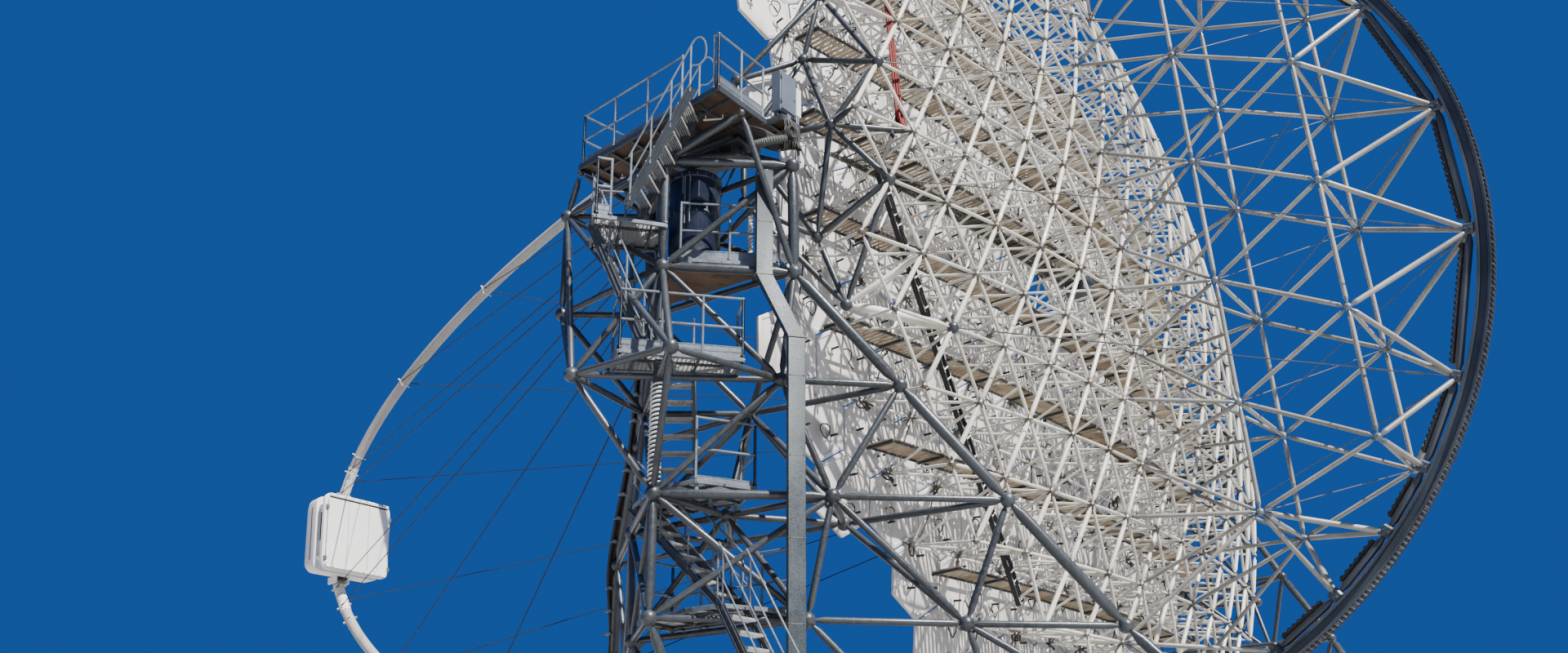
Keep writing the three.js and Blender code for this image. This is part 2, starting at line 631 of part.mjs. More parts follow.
// Grey steel that carries the dish on one trunnion; the other side is its mirror image
function sideFrame(grow = 0) {
  const trunnion = at(0, -TRUNNION_Y, 0);
  const back = at(1.65, -10.56, 0);
  const parts = [];
  const nodes = [trunnion, back];
  const tube = (a, b) => parts.push(bar(a, b, BRACE_TUBE + 2 * grow, 3));
  tube(trunnion, back);
  tube(back, backLayer(-3 * LATTICE_PITCH, 0));
  tube(back, backLayer(-2 * LATTICE_PITCH, 0));
  for (const s of [-1, 1]) {
    const apex = at(0, -11.3, 1.4 * s);
    const front = at(0.9, -10.2, 2.05 * s);
    const outer = at(1.3, -10, 3.57 * s);
    const anchor = backLayer(-2.5 * LATTICE_PITCH, s * LATTICE_ROW);
    nodes.push(apex, front, outer);
    for (const node of [apex, front]) tube(trunnion, node);
    for (const node of [apex, outer, back, anchor]) tube(front, node);
    tube(outer, anchor);
    tube(back, anchor);
  }
  for (const node of nodes) parts.push(hub(node, SIDE_HUB + 2 * grow));
  const length = TRUNNION_OUTER_Y - TRUNNION_INNER_Y;
  const shaft = new THREE.CylinderGeometry(PIN_RADIUS + grow, PIN_RADIUS + grow, length, PIN_SIDES);
  const wide = FLANGE_RADIUS + grow;
  const flange = new THREE.CylinderGeometry(wide, wide, FLANGE_DEPTH + 2 * grow, 16);
  parts.push(solid(shaft.rotateY(PARK_TILT).translate(0, -(TRUNNION_OUTER_Y + TRUNNION_INNER_Y) / 2, 0)));
  parts.push(solid(flange.translate(0, -FLANGE_Y, 0)));
  return union(parts);
}

function archNode(degrees) {
  const angle = THREE.MathUtils.degToRad(degrees);
  return at(ARCH_NODE_RADIUS * Math.cos(angle), 0, ARCH_NODE_RADIUS * Math.sin(angle));
}

// Toothed rear arch: the rail, and the straight chord beams inside it
function rearArch(grow = 0) {
  const outer = ARCH_RAIL_OUTER + grow;
  const inner = ARCH_RAIL_OUTER - ARCH_RAIL_DEPTH - grow;
  const half = Math.PI / 2 + grow / outer;
  const shape = new THREE.Shape();
  shape.absarc(0, 0, outer, -half, half, false);
  shape.absarc(0, 0, inner, half, -half, true);
  shape.closePath();
  const width = ARCH_RAIL_WIDTH + 2 * grow;
  const rail = new THREE.ExtrudeGeometry(shape, { depth: width, bevelEnabled: false, curveSegments: 30 });
  const parts = [solid(rail.translate(0, 0, -width / 2).rotateX(Math.PI / 2))];
  const angles = [...ARCH_NODE_ANGLES.map((angle) => -angle).reverse(), ...ARCH_NODE_ANGLES];
  angles.forEach((angle, i) => {
    const node = archNode(angle);
    const reach = (ARCH_BLOCK_HALF_DEPTH + grow) / ARCH_NODE_RADIUS;
    const [low, high] = [-reach, reach].map((offset) => node.clone().multiplyScalar(1 + offset));
    parts.push(beam(low, high, ARCH_BLOCK_WIDTH + 2 * grow, ARCH_BLOCK_WIDTH + 2 * grow));
    if (i > 0) parts.push(bar(archNode(angles[i - 1]), node, ARCH_CHORD + 2 * grow));
  });
  return union(parts);
}

// Truss between the dish's back layer and the rear arch
function wedgeTruss() {
  const parts = [];
  const tube = (a, b) => parts.push(bar(a, b, WEDGE_TUBE, 3));
  const rowHub = (y, row) => backLayer(y, row * LATTICE_ROW);
  const half = LATTICE_PITCH / 2;
  for (const side of [-1, 1]) {
    const y = WEDGE_HALF_WIDTH * side;
    const b = WEDGE_INNER_HEIGHTS.map((z) => at(WEDGE_INNER_X, y, z));
    const c = WEDGE_OUTER_HEIGHTS.map((z) => at(WEDGE_OUTER_X, y, z));
    for (const point of [...b, ...c]) parts.push(hub(point, WEDGE_HUB));
    for (let i = 0; i < 5; i += 1) {
      tube(b[i], b[i + 1]);
      tube(b[i], c[i]);
      tube(c[i], b[i + 1]);
      if (i > 0) tube(c[i - 1], c[i]);
    }
    tube(c[2], archNode(8.1));
    tube(c[2], archNode(-8.1));
    for (const s of [-1, 1]) {
      const [b0, b1, b2] = s > 0 ? b.slice(3) : b.slice(0, 3).reverse();
      const [c1, c2] = s > 0 ? c.slice(3) : c.slice(0, 2).reverse();
      for (const angle of [8.1, 25.3]) tube(c1, archNode(s * angle));
      for (const angle of [25.3, 35.9]) tube(c2, archNode(s * angle));
      for (const angle of [44, 52.9]) tube(b2, archNode(s * angle));
      for (const angle of [62, 71.5, 90]) tube(archNode(s * angle), rowHub(side * half, 3 * s));
      tube(b0, rowHub(0, 0));
      for (const node of [b0, b1]) tube(node, rowHub(side * half, s));
      for (const node of [b1, b2]) tube(node, rowHub(0, 2 * s));
      tube(b2, rowHub(side * half, 3 * s));
    }
  }
  for (const [x, heights] of [[WEDGE_INNER_X, WEDGE_INNER_HEIGHTS], [WEDGE_OUTER_X, WEDGE_OUTER_HEIGHTS]]) {
    for (const z of heights) tube(at(x, -WEDGE_HALF_WIDTH, z), at(x, WEDGE_HALF_WIDTH, z));
  }
  return union(parts);
}

// One half of the front arch: a tube on an ellipse from the camera to the dish's rim
function frontArch(sign, grow = 0) {
  const points = [];
  const steps = 18;
  const start = Math.asin(FRONT_ARCH_START / ARCH_NODE_RADIUS);
  for (let i = 0; i <= steps; i += 1) {
    const t = start + (Math.PI / 2 - start) * (i / steps);
    points.push(at(-FRONT_ARCH_REACH * Math.cos(t), 0, sign * ARCH_NODE_RADIUS * Math.sin(t)));
  }
  const section = new THREE.Shape();
  const corners = 8;
  for (let i = 0; i < corners; i += 1) {
    const angle = (i + 0.5) * (2 * Math.PI / corners);
    const radius = FRONT_ARCH_TUBE / 2 + grow;
    const place = [radius * Math.cos(angle), radius * Math.sin(angle)];
    if (i === 0) section.moveTo(...place);
    else section.lineTo(...place);
  }
  const path = new THREE.CatmullRomCurve3(points);
  return solid(new THREE.ExtrudeGeometry(section, { steps, extrudePath: path, bevelEnabled: false }));
}

function chamferedSquare(size, chamfer) {
  const h = size / 2;
  const corner = h - chamfer;
  const shape = new THREE.Shape();
  shape.moveTo(corner, h);
  for (const [x, y] of [[-corner, h], [-h, corner], [-h, -corner], [-corner, -h]]) shape.lineTo(x, y);
  for (const [x, y] of [[corner, -h], [h, -corner], [h, corner]]) shape.lineTo(x, y);
  shape.closePath();
  return shape;
}

function cameraBox(depthLow, depthHigh, size, grow = 0) {
  const shape = chamferedSquare(size + 2 * grow, CAMERA_CHAMFER);
  const depth = depthHigh - depthLow + 2 * grow;
  const geometry = new THREE.ExtrudeGeometry(shape, { depth, bevelEnabled: false });
  return solid(geometry.rotateY(Math.PI / 2).translate(depthLow - grow, 0, 0));
}

// Stays from collars on the front arch to the dish's two side frames
function frontStays(sign) {
  const parts = [];
  for (const t of COLLAR_ANGLES) {
    const angle = THREE.MathUtils.degToRad(t);
    const collar = at(-FRONT_ARCH_REACH * Math.cos(angle), 0, sign * ARCH_NODE_RADIUS * Math.sin(angle));
    parts.push(hub(collar, COLLAR_SIZE));
    for (const y of [-STAY_ANCHOR_Y, STAY_ANCHOR_Y]) {
      parts.push(bar(collar, at(0, y, STAY_ANCHOR_Z * sign), STAY_DIAMETER, 3));
    }
  }
  return union(parts);
}

// Assembly

addPiece(telescope, 'rail_ring', railRing(), steel);
addPiece(telescope, 'pivot_base', pivotBase(), concrete);

const grownBase = baseFrame(GAP);
addPiece(telescope, 'base_frame', baseFrame(), steel);
baseCorners.forEach((corner, i) => {
  const turned = new THREE.Group();
  turned.position.set(corner.x * MODEL, corner.y * MODEL, 0);
  turned.rotation.z = Math.atan2(corner.y, corner.x);
  telescope.add(turned);
  addPiece(turned, `bogie_${i + 1}`, bogie(), slate);
});

const nearTower = fitted(tower(), grownBase);
const grownTower = tower(GAP);
addPiece(telescope, 'near_tower', nearTower, steel);
addPiece(telescope, 'far_tower', toFarSide(nearTower), steel);
addPiece(telescope, 'near_bearing_block', bearingBlock(), slate);
addPiece(telescope, 'far_bearing_block', toFarSide(bearingBlock()), slate);

const upperDeck = fitted(topPlatform(), grownTower);
addPiece(telescope, 'near_top_platform', upperDeck, steel);
addPiece(telescope, 'far_top_platform', toFarSide(upperDeck), steel);

const grownDecks = [topPlatform(GAP)];
for (const [name, plan] of Object.entries(deckPlans)) {
  addPiece(telescope, name, fitted(deck(plan), grownTower), steel);
  grownDecks.push(deck(plan, GAP));
}

const flights = {
  stairs_ground: flight(at(4.5, -13.1, 0.15), at(1.25, -12.9, LOWER_LEVEL)),
  stairs_lower: flight(at(0.6, -12.05, LOWER_LEVEL + 0.09), at(-1.6, -12.0, MIDDLE_LEVEL)),
  stairs_middle: flight(at(-1.0, -11.75, MIDDLE_LEVEL + 0.09), at(-0.1, -12.95, BALCONY_LEVEL)),
  stairs_upper: flight(at(-0.2, -13.5, BALCONY_LEVEL + 0.09), at(-1.12, -14.05, LANDING_LEVEL)),
  stairs_top: flight(at(-0.25, -14.0, LANDING_LEVEL + 0.09), at(0.74, -13.5, PLATFORM_LEVEL)),
};
for (const [name, body] of Object.entries(flights)) {
  addPiece(telescope, name, fitted(body, grownTower, ...grownDecks), steel);
}

addPiece(telescope, 'drive_housing', driveHousing(), navy);
addPiece(telescope, 'control_cabinet', controlCabinet(), slate);
addPiece(telescope, 'cable_duct', fitted(cableDuct(), grownTower, grownBase), steel);
addPiece(telescope, 'elevation_drive', fitted(elevationDrive(), grownBase), slate);

const sideFrames = { near: sideFrame(), far: toFarSide(sideFrame()) };
const grownSideFrames = sideFrame(GAP).add(toFarSide(sideFrame(GAP)));
const grownRearArch = rearArch(GAP);
const grownCamera = cameraBox(CAMERA_BACK, CAMERA_FRONT, CAMERA_SIZE, GAP);
const grownFrontArches = frontArch(1, GAP).add(frontArch(-1, GAP));
const lattice = fitted(dishLattice(), mirrorPlate(0, GAP));
const grownLattice = dishLattice(GAP);

['upper_near', 'upper_far', 'lower_near', 'lower_far'].forEach((name, quarter) => {
  const plate = fitted(mirrorPlate(quarter), grownSideFrames, grownFrontArches, grownRearArch);
  addPiece(dish, `mirror_${name}`, plate, white);
});
addPiece(dish, 'dish_lattice', lattice, cream);
addPiece(dish, 'near_side_frame', fitted(sideFrames.near, grownLattice), steel);
addPiece(dish, 'far_side_frame', fitted(sideFrames.far, grownLattice), steel);
addPiece(dish, 'rear_arch', rearArch(), slate);
addPiece(dish, 'wedge_truss', fitted(wedgeTruss(), grownLattice, grownRearArch), cream);
addPiece(dish, 'front_arch_upper', fitted(frontArch(1), grownRearArch, grownCamera), white);
addPiece(dish, 'front_arch_lower', fitted(frontArch(-1), grownRearArch, grownCamera), white);
const shellEnd = CAMERA_FRONT - SHUTTER_DEPTH;
const shutter = cameraBox(shellEnd + GAP, CAMERA_FRONT, CAMERA_SIZE - SHUTTER_INSET);
addPiece(dish, 'camera_housing', cameraBox(CAMERA_BACK, shellEnd, CAMERA_SIZE), white);
addPiece(dish, 'camera_shutter', shutter, white);
for (const [name, sign] of [['upper', 1], ['lower', -1]]) {
  const stays = fitted(frontStays(sign), grownFrontArches, grownSideFrames, mirrorPlate(0, GAP));
  addPiece(dish, `front_stays_${name}`, stays, slate);
}

export default telescope;
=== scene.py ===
"""Mirror-dish telescope as a half-size model.

Lengths below are those of the real telescope, in metres, with the ground at z = 0; SCALE turns
them into the model's. Dish points are given in the dish's own frame: x backwards, z up its face.
"""
import math
import random

import bpy
import numpy as np
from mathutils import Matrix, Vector


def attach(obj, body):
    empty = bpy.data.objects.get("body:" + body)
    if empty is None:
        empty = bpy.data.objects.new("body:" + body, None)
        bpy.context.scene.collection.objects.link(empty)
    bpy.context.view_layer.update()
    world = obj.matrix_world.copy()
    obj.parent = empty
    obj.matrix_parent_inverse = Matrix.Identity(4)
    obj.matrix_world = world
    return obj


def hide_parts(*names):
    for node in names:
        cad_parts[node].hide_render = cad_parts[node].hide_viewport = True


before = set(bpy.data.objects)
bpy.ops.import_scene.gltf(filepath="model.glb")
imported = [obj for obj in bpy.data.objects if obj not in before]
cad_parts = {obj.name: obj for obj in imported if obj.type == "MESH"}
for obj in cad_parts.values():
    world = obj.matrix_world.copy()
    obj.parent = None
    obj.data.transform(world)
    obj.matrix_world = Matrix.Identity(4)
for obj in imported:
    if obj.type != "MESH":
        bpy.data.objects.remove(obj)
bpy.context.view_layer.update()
SEED = 11
random.seed(SEED)

SCALE = 0.5
AXIS_HEIGHT = 15.0
PARK_TILT = math.radians(4.54)
DISH_X = np.array([math.cos(PARK_TILT), 0.0, math.sin(PARK_TILT)])
DISH_Z = np.array([-math.sin(PARK_TILT), 0.0, math.cos(PARK_TILT)])
DISH_ORIGIN = np.array([0.0, 0.0, AXIS_HEIGHT])
UP = np.array([0.0, 0.0, 1.0])
SIDE = np.array([0.0, 1.0, 0.0])
X_AXIS = np.array([1.0, 0.0, 0.0])


def dish(x, y, z):
    """A point given in the dish's frame, as a point of the telescope at rest."""
    return DISH_ORIGIN + x * DISH_X + y * SIDE + z * DISH_Z


def on_dish(points):
    return [dish(*point) for point in points]


# Camera and light

def aim(thing, eye, yaw, pitch):
    a, b = math.radians(yaw), math.radians(pitch)
    forward = Vector((-math.sin(a) * math.cos(b), math.cos(a) * math.cos(b), math.sin(b)))
    thing.location = eye
    thing.rotation_mode = "QUATERNION"
    thing.rotation_quaternion = forward.to_track_quat("-Z", "Y")


def add_object(name, data):
    thing = bpy.data.objects.new(name, data)
    bpy.context.scene.collection.objects.link(thing)
    return thing


camera = add_object("camera", bpy.data.cameras.new("camera"))
camera.data.sensor_width = 36.0
camera.data.lens = 30.822
camera.data.shift_x = -0.005
camera.data.shift_y = 0.06
camera.data.clip_end = 400.0
aim(camera, (7.393, -14.784, 0.811), 36.519, 17.881)
bpy.context.scene.camera = camera


LIGHT_DISTANCE = 60.0
LIGHT_TARGET = Vector((0, 0, 7))


def add_light(name, kind, energy, colour, yaw, pitch, size):
    light = bpy.data.lights.new(name, kind)
    light.energy = energy
    light.color = colour
    if kind == "AREA":
        light.shape = "DISK"
        light.size = size
    else:
        light.angle = math.radians(size)
    thing = add_object(name, light)
    a, b = math.radians(yaw), math.radians(pitch)
    eye = Vector((math.sin(a) * math.cos(b), -math.cos(a) * math.cos(b), -math.sin(b))) * LIGHT_DISTANCE
    aim(thing, eye + LIGHT_TARGET, yaw, pitch)


add_light("key_light", "SUN", 13.0, (1.0, 0.965, 0.90), 78.0, -52.0, 0.8)
add_light("fill_light", "AREA", 5000.0, (1.0, 0.92, 0.82), 20.0, -80.0, 40.0)

world = bpy.data.worlds.new("studio")
world.use_nodes = True
world.node_tree.nodes["Background"].inputs["Color"].default_value = (0.015, 0.165, 0.74, 1.0)
world.node_tree.nodes["Background"].inputs["Strength"].default_value = 0.48
bpy.context.scene.world = world


# Materials

def rgba(colour):
    return (*colour, 1.0)


def noise(tree, coords, scale, detail=4.0, stretch=(1, 1, 1)):
    mapping = tree.nodes.new("ShaderNodeMapping")
    mapping.inputs["Scale"].default_value = stretch
    tree.links.new(coords.outputs["Object"], mapping.inputs["Vector"])
    node = tree.nodes.new("ShaderNodeTexNoise")
    node.inputs["Scale"].default_value = scale
    node.inputs["Detail"].default_value = detail
    tree.links.new(mapping.outputs["Vector"], node.inputs["Vector"])
    return node.outputs["Fac"]


def spread(tree, value, low, high, to_low=0.0, to_high=1.0):
    node = tree.nodes.new("ShaderNodeMapRange")
    for name, number in zip(("From Min", "From Max", "To Min", "To Max"), (low, high, to_low, to_high)):
        node.inputs[name].default_value = number
    tree.links.new(value, node.inputs["Value"])
    return node.outputs["Result"]


def mixed(tree, factor, first, second):
    node = tree.nodes.new("ShaderNodeMix")
    node.data_type = "RGBA"
    tree.links.new(factor, node.inputs["Factor"])
    for socket, colour in ((node.inputs["A"], first), (node.inputs["B"], second)):
        if isinstance(colour, tuple):
            socket.default_value = rgba(colour)
        else:
            tree.links.new(colour, socket)
    return node.outputs["Result"]


def finish_of(name, dark, light, dirt, metal=0.0, rough=(0.4, 0.6), patch=1.2, grain=60.0,
              bump=0.15, spangle=0.0, streaks=0.5):
    """The slot is the record's, and pieces in this finish take it unless they name another.
    """
    made = bpy.data.materials.new(name)
    made.use_nodes = True
    tree = made.node_tree
    shader = tree.nodes["Principled BSDF"]
    shader.inputs["Metallic"].default_value = metal
    coords = tree.nodes.new("ShaderNodeTexCoord")
    patches = spread(tree, noise(tree, coords, patch), 0.35, 0.65)
    fine = noise(tree, coords, grain, 2.0)
    colour = mixed(tree, patches, dark, light)
    if spangle:
        cells = tree.nodes.new("ShaderNodeTexVoronoi")
        cells.inputs["Scale"].default_value = spangle
        tree.links.new(coords.outputs["Object"], cells.inputs["Vector"])
        grey = tree.nodes.new("ShaderNodeSeparateColor")
        tree.links.new(cells.outputs["Color"], grey.inputs["Color"])
        bright = spread(tree, grey.outputs["Red"], 0.0, 1.0, 0.0, 0.45)
        colour = mixed(tree, bright, colour, tuple(min(1.0, 1.25 * c) for c in light))
    runs = noise(tree, coords, 3.0, 5.0, (2.2, 2.2, 0.35))
    colour = mixed(tree, spread(tree, runs, 0.52, 0.75, 0.0, streaks), colour, dirt)
    tree.links.new(colour, shader.inputs["Base Color"])
    tree.links.new(spread(tree, fine, 0.3, 0.7, *rough), shader.inputs["Roughness"])
    relief = tree.nodes.new("ShaderNodeBump")
    relief.inputs["Strength"].default_value = bump
    relief.inputs["Distance"].default_value = 0.004
    tree.links.new(fine, relief.inputs["Height"])
    tree.links.new(relief.outputs["Normal"], shader.inputs["Normal"])
    return made


STEEL = finish_of(
    "galvanised_tube", (0.025, 0.030, 0.036), (0.061, 0.070, 0.080), (0.04, 0.034, 0.028),
    metal=0.4, rough=(0.28, 0.46), patch=0.9, spangle=30.0)
DARK = finish_of(
    "dark_bolt_steel", (0.09, 0.08, 0.07), (0.20, 0.18, 0.16), (0.05, 0.04, 0.03),
    metal=0.4, patch=3.0, streaks=0.6)
BRIGHT = finish_of(
    "galvanised_sheet",
    (0.082, 0.10, 0.123), (0.185, 0.213, 0.245), (0.065, 0.066, 0.068),
    metal=0.4, rough=(0.3, 0.5), patch=1.6, spangle=22.0)
DUCT = finish_of(
    "duct_sheet", (0.020, 0.027, 0.034), (0.046, 0.057, 0.067), (0.018, 0.022, 0.025),
    metal=0.35, rough=(0.34, 0.52), patch=2.6, spangle=12.0, streaks=0.6)
GRATE = finish_of(
    "grating_steel", (0.22, 0.226, 0.232), (0.38, 0.387, 0.39), (0.14, 0.122, 0.104),
    metal=0.3, patch=2.0, spangle=40.0)
CREAM = finish_of(
    "cream_tube_paint", (0.45, 0.435, 0.375), (0.66, 0.65, 0.59), (0.24, 0.205, 0.155),
    rough=(0.32, 0.5), patch=0.8, grain=30.0, bump=0.04, streaks=0.45)
PALE = finish_of(
    "pale_tube_paint", (0.17, 0.17, 0.158), (0.32, 0.32, 0.298), (0.11, 0.10, 0.088),
    rough=(0.3, 0.48), patch=0.9, grain=30.0, bump=0.04, streaks=0.4)
WHITE = finish_of(
    "white_paint", (0.60, 0.595, 0.57), (0.72, 0.715, 0.695), (0.36, 0.33, 0.285),
    rough=(0.32, 0.46), patch=1.4, grain=24.0, bump=0.03, streaks=0.3)
PAINT = finish_of(
    "arch_paint", (0.30, 0.29, 0.27), (0.37, 0.36, 0.335), (0.22, 0.205, 0.18),
    rough=(0.34, 0.48), patch=0.7, grain=2.5, bump=0.02, streaks=0.2)
SHELL = finish_of(
    "white_shell_paint", (0.68, 0.68, 0.67), (0.75, 0.75, 0.74), (0.52, 0.50, 0.47),
    rough=(0.3, 0.42), patch=0.8, grain=20.0, bump=0.02, streaks=0.12)
BACK = finish_of(
    "mirror_back_paint", (0.43, 0.427, 0.412), (0.61, 0.61, 0.598), (0.23, 0.198, 0.16),
    rough=(0.45, 0.65), patch=2.4, grain=70.0, bump=0.1, streaks=0.6)
GLASS = finish_of(
    "mirror_coat", (0.80, 0.84, 0.88), (0.90, 0.92, 0.94), (0.74, 0.76, 0.78),
    metal=1.0, rough=(0.03, 0.09), patch=0.7, grain=8.0, bump=0.01, streaks=0.3)
SLATE = finish_of(
    "slate_paint", (0.026, 0.034, 0.048), (0.060, 0.074, 0.095), (0.10, 0.09, 0.08),
    metal=0.15, rough=(0.3, 0.5), patch=1.1, grain=50.0, streaks=0.35)
NAVY = finish_of(
    "navy_paint", (0.006, 0.009, 0.022), (0.014, 0.022, 0.046), (0.05, 0.05, 0.055),
    metal=0.1, rough=(0.26, 0.42), patch=1.5, grain=40.0, bump=0.05, streaks=0.35)
BLACK = finish_of(
    "black_cover", (0.007, 0.007, 0.008), (0.018, 0.018, 0.020), (0.035, 0.032, 0.03),
    rough=(0.6, 0.82), patch=3.0, grain=90.0, streaks=0.3)
HOSE = finish_of(
    "ribbed_hose", (0.03, 0.038, 0.033), (0.07, 0.082, 0.072), (0.04, 0.04, 0.034),
    rough=(0.5, 0.7), patch=3.0, bump=0.2)
ROPE = finish_of(
    "braided_wrap", (0.34, 0.36, 0.37), (0.62, 0.64, 0.64), (0.10, 0.10, 0.10),
    rough=(0.5, 0.7), patch=5.0, grain=90.0, bump=0.4, streaks=0.6)
BOARD = finish_of(
    "deck_board", (0.028, 0.017, 0.010), (0.145, 0.086, 0.048), (0.010, 0.009, 0.008),
    rough=(0.6, 0.8), patch=1.3, grain=30.0, bump=0.4, streaks=0.9)
SLAT = finish_of(
    "walkway_slat", (0.22, 0.163, 0.106), (0.37, 0.296, 0.208), (0.10, 0.072, 0.05),
    rough=(0.55, 0.75), patch=2.5, bump=0.3)
GREY = finish_of(
    "cabinet_grey", (0.075, 0.092, 0.122), (0.115, 0.137, 0.172), (0.055, 0.062, 0.068),
    rough=(0.35, 0.5), bump=0.04, streaks=0.3)
RED = finish_of(
    "red_hose", (0.115, 0.003, 0.002), (0.19, 0.007, 0.004), (0.06, 0.01, 0.008),
    rough=(0.6, 0.8), patch=3.0, bump=0.1)
STONE = finish_of(
    "concrete_face", (0.42, 0.41, 0.38), (0.56, 0.55, 0.52), (0.24, 0.22, 0.2),
    rough=(0.75, 0.92), patch=2.2, grain=35.0, bump=0.5, streaks=0.6)
FLOOR = finish_of(
    "pale_floor", (0.35, 0.342, 0.325), (0.39, 0.382, 0.365), (0.33, 0.322, 0.305),
    rough=(0.6, 0.7), patch=0.2, grain=3.0, bump=0.02, streaks=0.2)


# Shapes

NECK_SHARE = 0.42
SHORTEST_BAR = 0.05
SHARP_ANGLE = math.radians(35.0)


class Shape:
    """Points and faces that are collected for one piece."""

    def __init__(self):
        self.points = []
        self.faces = []
        self.total = 0

    def add(self, points, faces):
        start = self.total
        self.points.append(np.asarray(points, float))
        self.faces.extend([tuple(start + i for i in face) for face in faces])
        self.total += len(points)


def shapes(count):
    return [Shape() for _ in range(count)]


def unit(vector):
    vector = np.asarray(vector, float)
    return vector / np.linalg.norm(vector)


def across(direction):
    """Two unit vectors that make a right-handed set with the direction."""
    other = UP if abs(direction[2]) < 0.9 else X_AXIS
    u = unit(np.cross(other, direction))
    return u, np.cross(direction, u)


def turns(count):
    """The angles that divide a full turn."""
    return np.linspace(0, 2 * math.pi, count, endpoint=False)


def circle(radius, sides):
    angles = 2 * math.pi * (np.arange(sides) + 0.5) / sides
    return np.stack([radius * np.cos(angles), radius * np.sin(angles)], 1)


def rectangle(width, height, chamfer):
    w, h, c = width / 2, height / 2, chamfer
    if not chamfer:
        return np.array([[-w, -h], [w, -h], [w, h], [-w, h]])
    return np.array([[-w + c, -h], [w - c, -h], [w, -h + c], [w, h - c],
                     [w - c, h], [-w + c, h], [-w, h - c], [-w, -h + c]])


def loft(shape, rings, loop=False):
    """A skin over rings of points that all turn the same way; end faces close it unless it loops."""
    n, count = len(rings[0]), len(rings)
    faces = []
    for i in range(count if loop else count - 1):
        a, b = i * n, (i + 1) % count * n
        faces.extend((a + k, a + (k + 1) % n, b + (k + 1) % n, b + k) for k in range(n))
    if not loop:
        faces.append(tuple(range(n - 1, -1, -1)))
        faces.append(tuple(range((count - 1) * n, count * n)))
    shape.add(np.concatenate(rings), faces)


def placed(section, centre, u, v):
    return centre + section[:, :1] * u + section[:, 1:] * v


def turned(shape, stations, sides, centre=(0.0, 0.0), loop=False):
    """A form turned about an upright axis, from its (radius, level) stations."""
    loft(shape, [placed(circle(r, sides), np.array([*centre, z]), X_AXIS, SIDE) for r, z in stations], loop)


def tube(shape, a, b, diameter, sides=8, neck=0.0, gap=0.0):
    """A round bar from a to b. A neck narrows its ends and a gap stops it short of them."""
    a, b = np.asarray(a, float), np.asarray(b, float)
    length = np.linalg.norm(b - a)
    along = (b - a) / length
    u, v = across(along)
    r = diameter / 2
    stations = [(gap, r), (length - gap, r)]
    if neck:
        thin = NECK_SHARE * r
        stations = [(gap, thin), (gap + neck, r), (length - gap - neck, r), (length - gap, thin)]
    loft(shape, [placed(circle(radius, sides), a + along * s, u, v) for s, radius in stations])


def collar(shape, spot, along, half, diameter, sides):
    """A short round band, half its length to each side of a spot."""
    tube(shape, spot - along * half, spot + along * half, diameter, sides)


def bolts(shape, a, b, reach, diameter=0.034):
    """The bolts that join a bar to the nodes at its two ends."""
    a, b = np.asarray(a, float), np.asarray(b, float)
    along = unit(b - a) * reach
    tube(shape, a, a + along, diameter, 5)
    tube(shape, b - along, b, diameter, 5)


def end_cones(shape, a, b, diameter, reach):
    """Tapered steel ends of a bar, each running on to its node."""
    stations = ((0.04, 0.3), (0.45 * reach, 0.34), (0.55 * reach, 0.52), (reach, 1.04), (reach + 0.03, 1.04))
    a, b = np.asarray(a, float), np.asarray(b, float)
    for start, along in ((a, unit(b - a)), (b, unit(a - b))):
        u, v = across(along)
        loft(shape, [placed(circle(0.5 * diameter * k, 10), start + along * s, u, v) for s, k in stations])


def ball(shape, centre, diameter, sides, rows):
    radius, centre = diameter / 2, np.asarray(centre, float)
    rings = []
    for angle in np.linspace(0.2, math.pi - 0.2, rows):
        level = centre - UP * math.cos(angle) * radius
        rings.append(placed(circle(radius * math.sin(angle), sides), level, X_AXIS, SIDE))
    loft(shape, rings)


def beam(shape, a, b, width, height, chamfer=0.0, up=UP):
    """A rectangular bar from a to b; height runs along up, width across it."""
    a, b = np.asarray(a, float), np.asarray(b, float)
    along = unit(b - a)
    u = unit(np.cross(along, up))
    v = np.cross(u, along)
    section = rectangle(width, height, chamfer)[::-1]
    loft(shape, [placed(section, a, u, v), placed(section, b, u, v)])


def block(shape, low, high, chamfer, place=None):
    """A box with chamfered edges; place turns its corners into another frame."""
    low, high = np.array(low, float), np.array(high, float)
    size, middle = high - low, (high + low) / 2
    c = min(chamfer, 0.3 * size.min())
    rings = []
    for z, inset in ((low[2], c), (low[2] + c, 0.0), (high[2] - c, 0.0), (high[2], c)):
        section = rectangle(size[0] - 2 * inset, size[1] - 2 * inset, c)
        rings.append(placed(section, np.array([middle[0], middle[1], z]), X_AXIS, SIDE))
    if place:
        rings = [np.array([place(*point) for point in ring]) for ring in rings]
    loft(shape, rings)


def sweep(shape, path, section, side=None, loop=False):
    """A section drawn along a path; side fixes the section's first axis on a flat path."""
    path = np.array(path, float)
    if loop:
        tangents = np.roll(path, -1, 0) - np.roll(path, 1, 0)
    else:
        tangents = np.gradient(path, axis=0)
    rings = []
    u = across(unit(tangents[0]))[0] if side is None else side
    for point, tangent in zip(path, tangents):
        tangent = unit(tangent)
        u = unit(u - tangent * (u @ tangent))
        rings.append(placed(section, point, u, np.cross(tangent, u)))
    loft(shape, rings, loop)


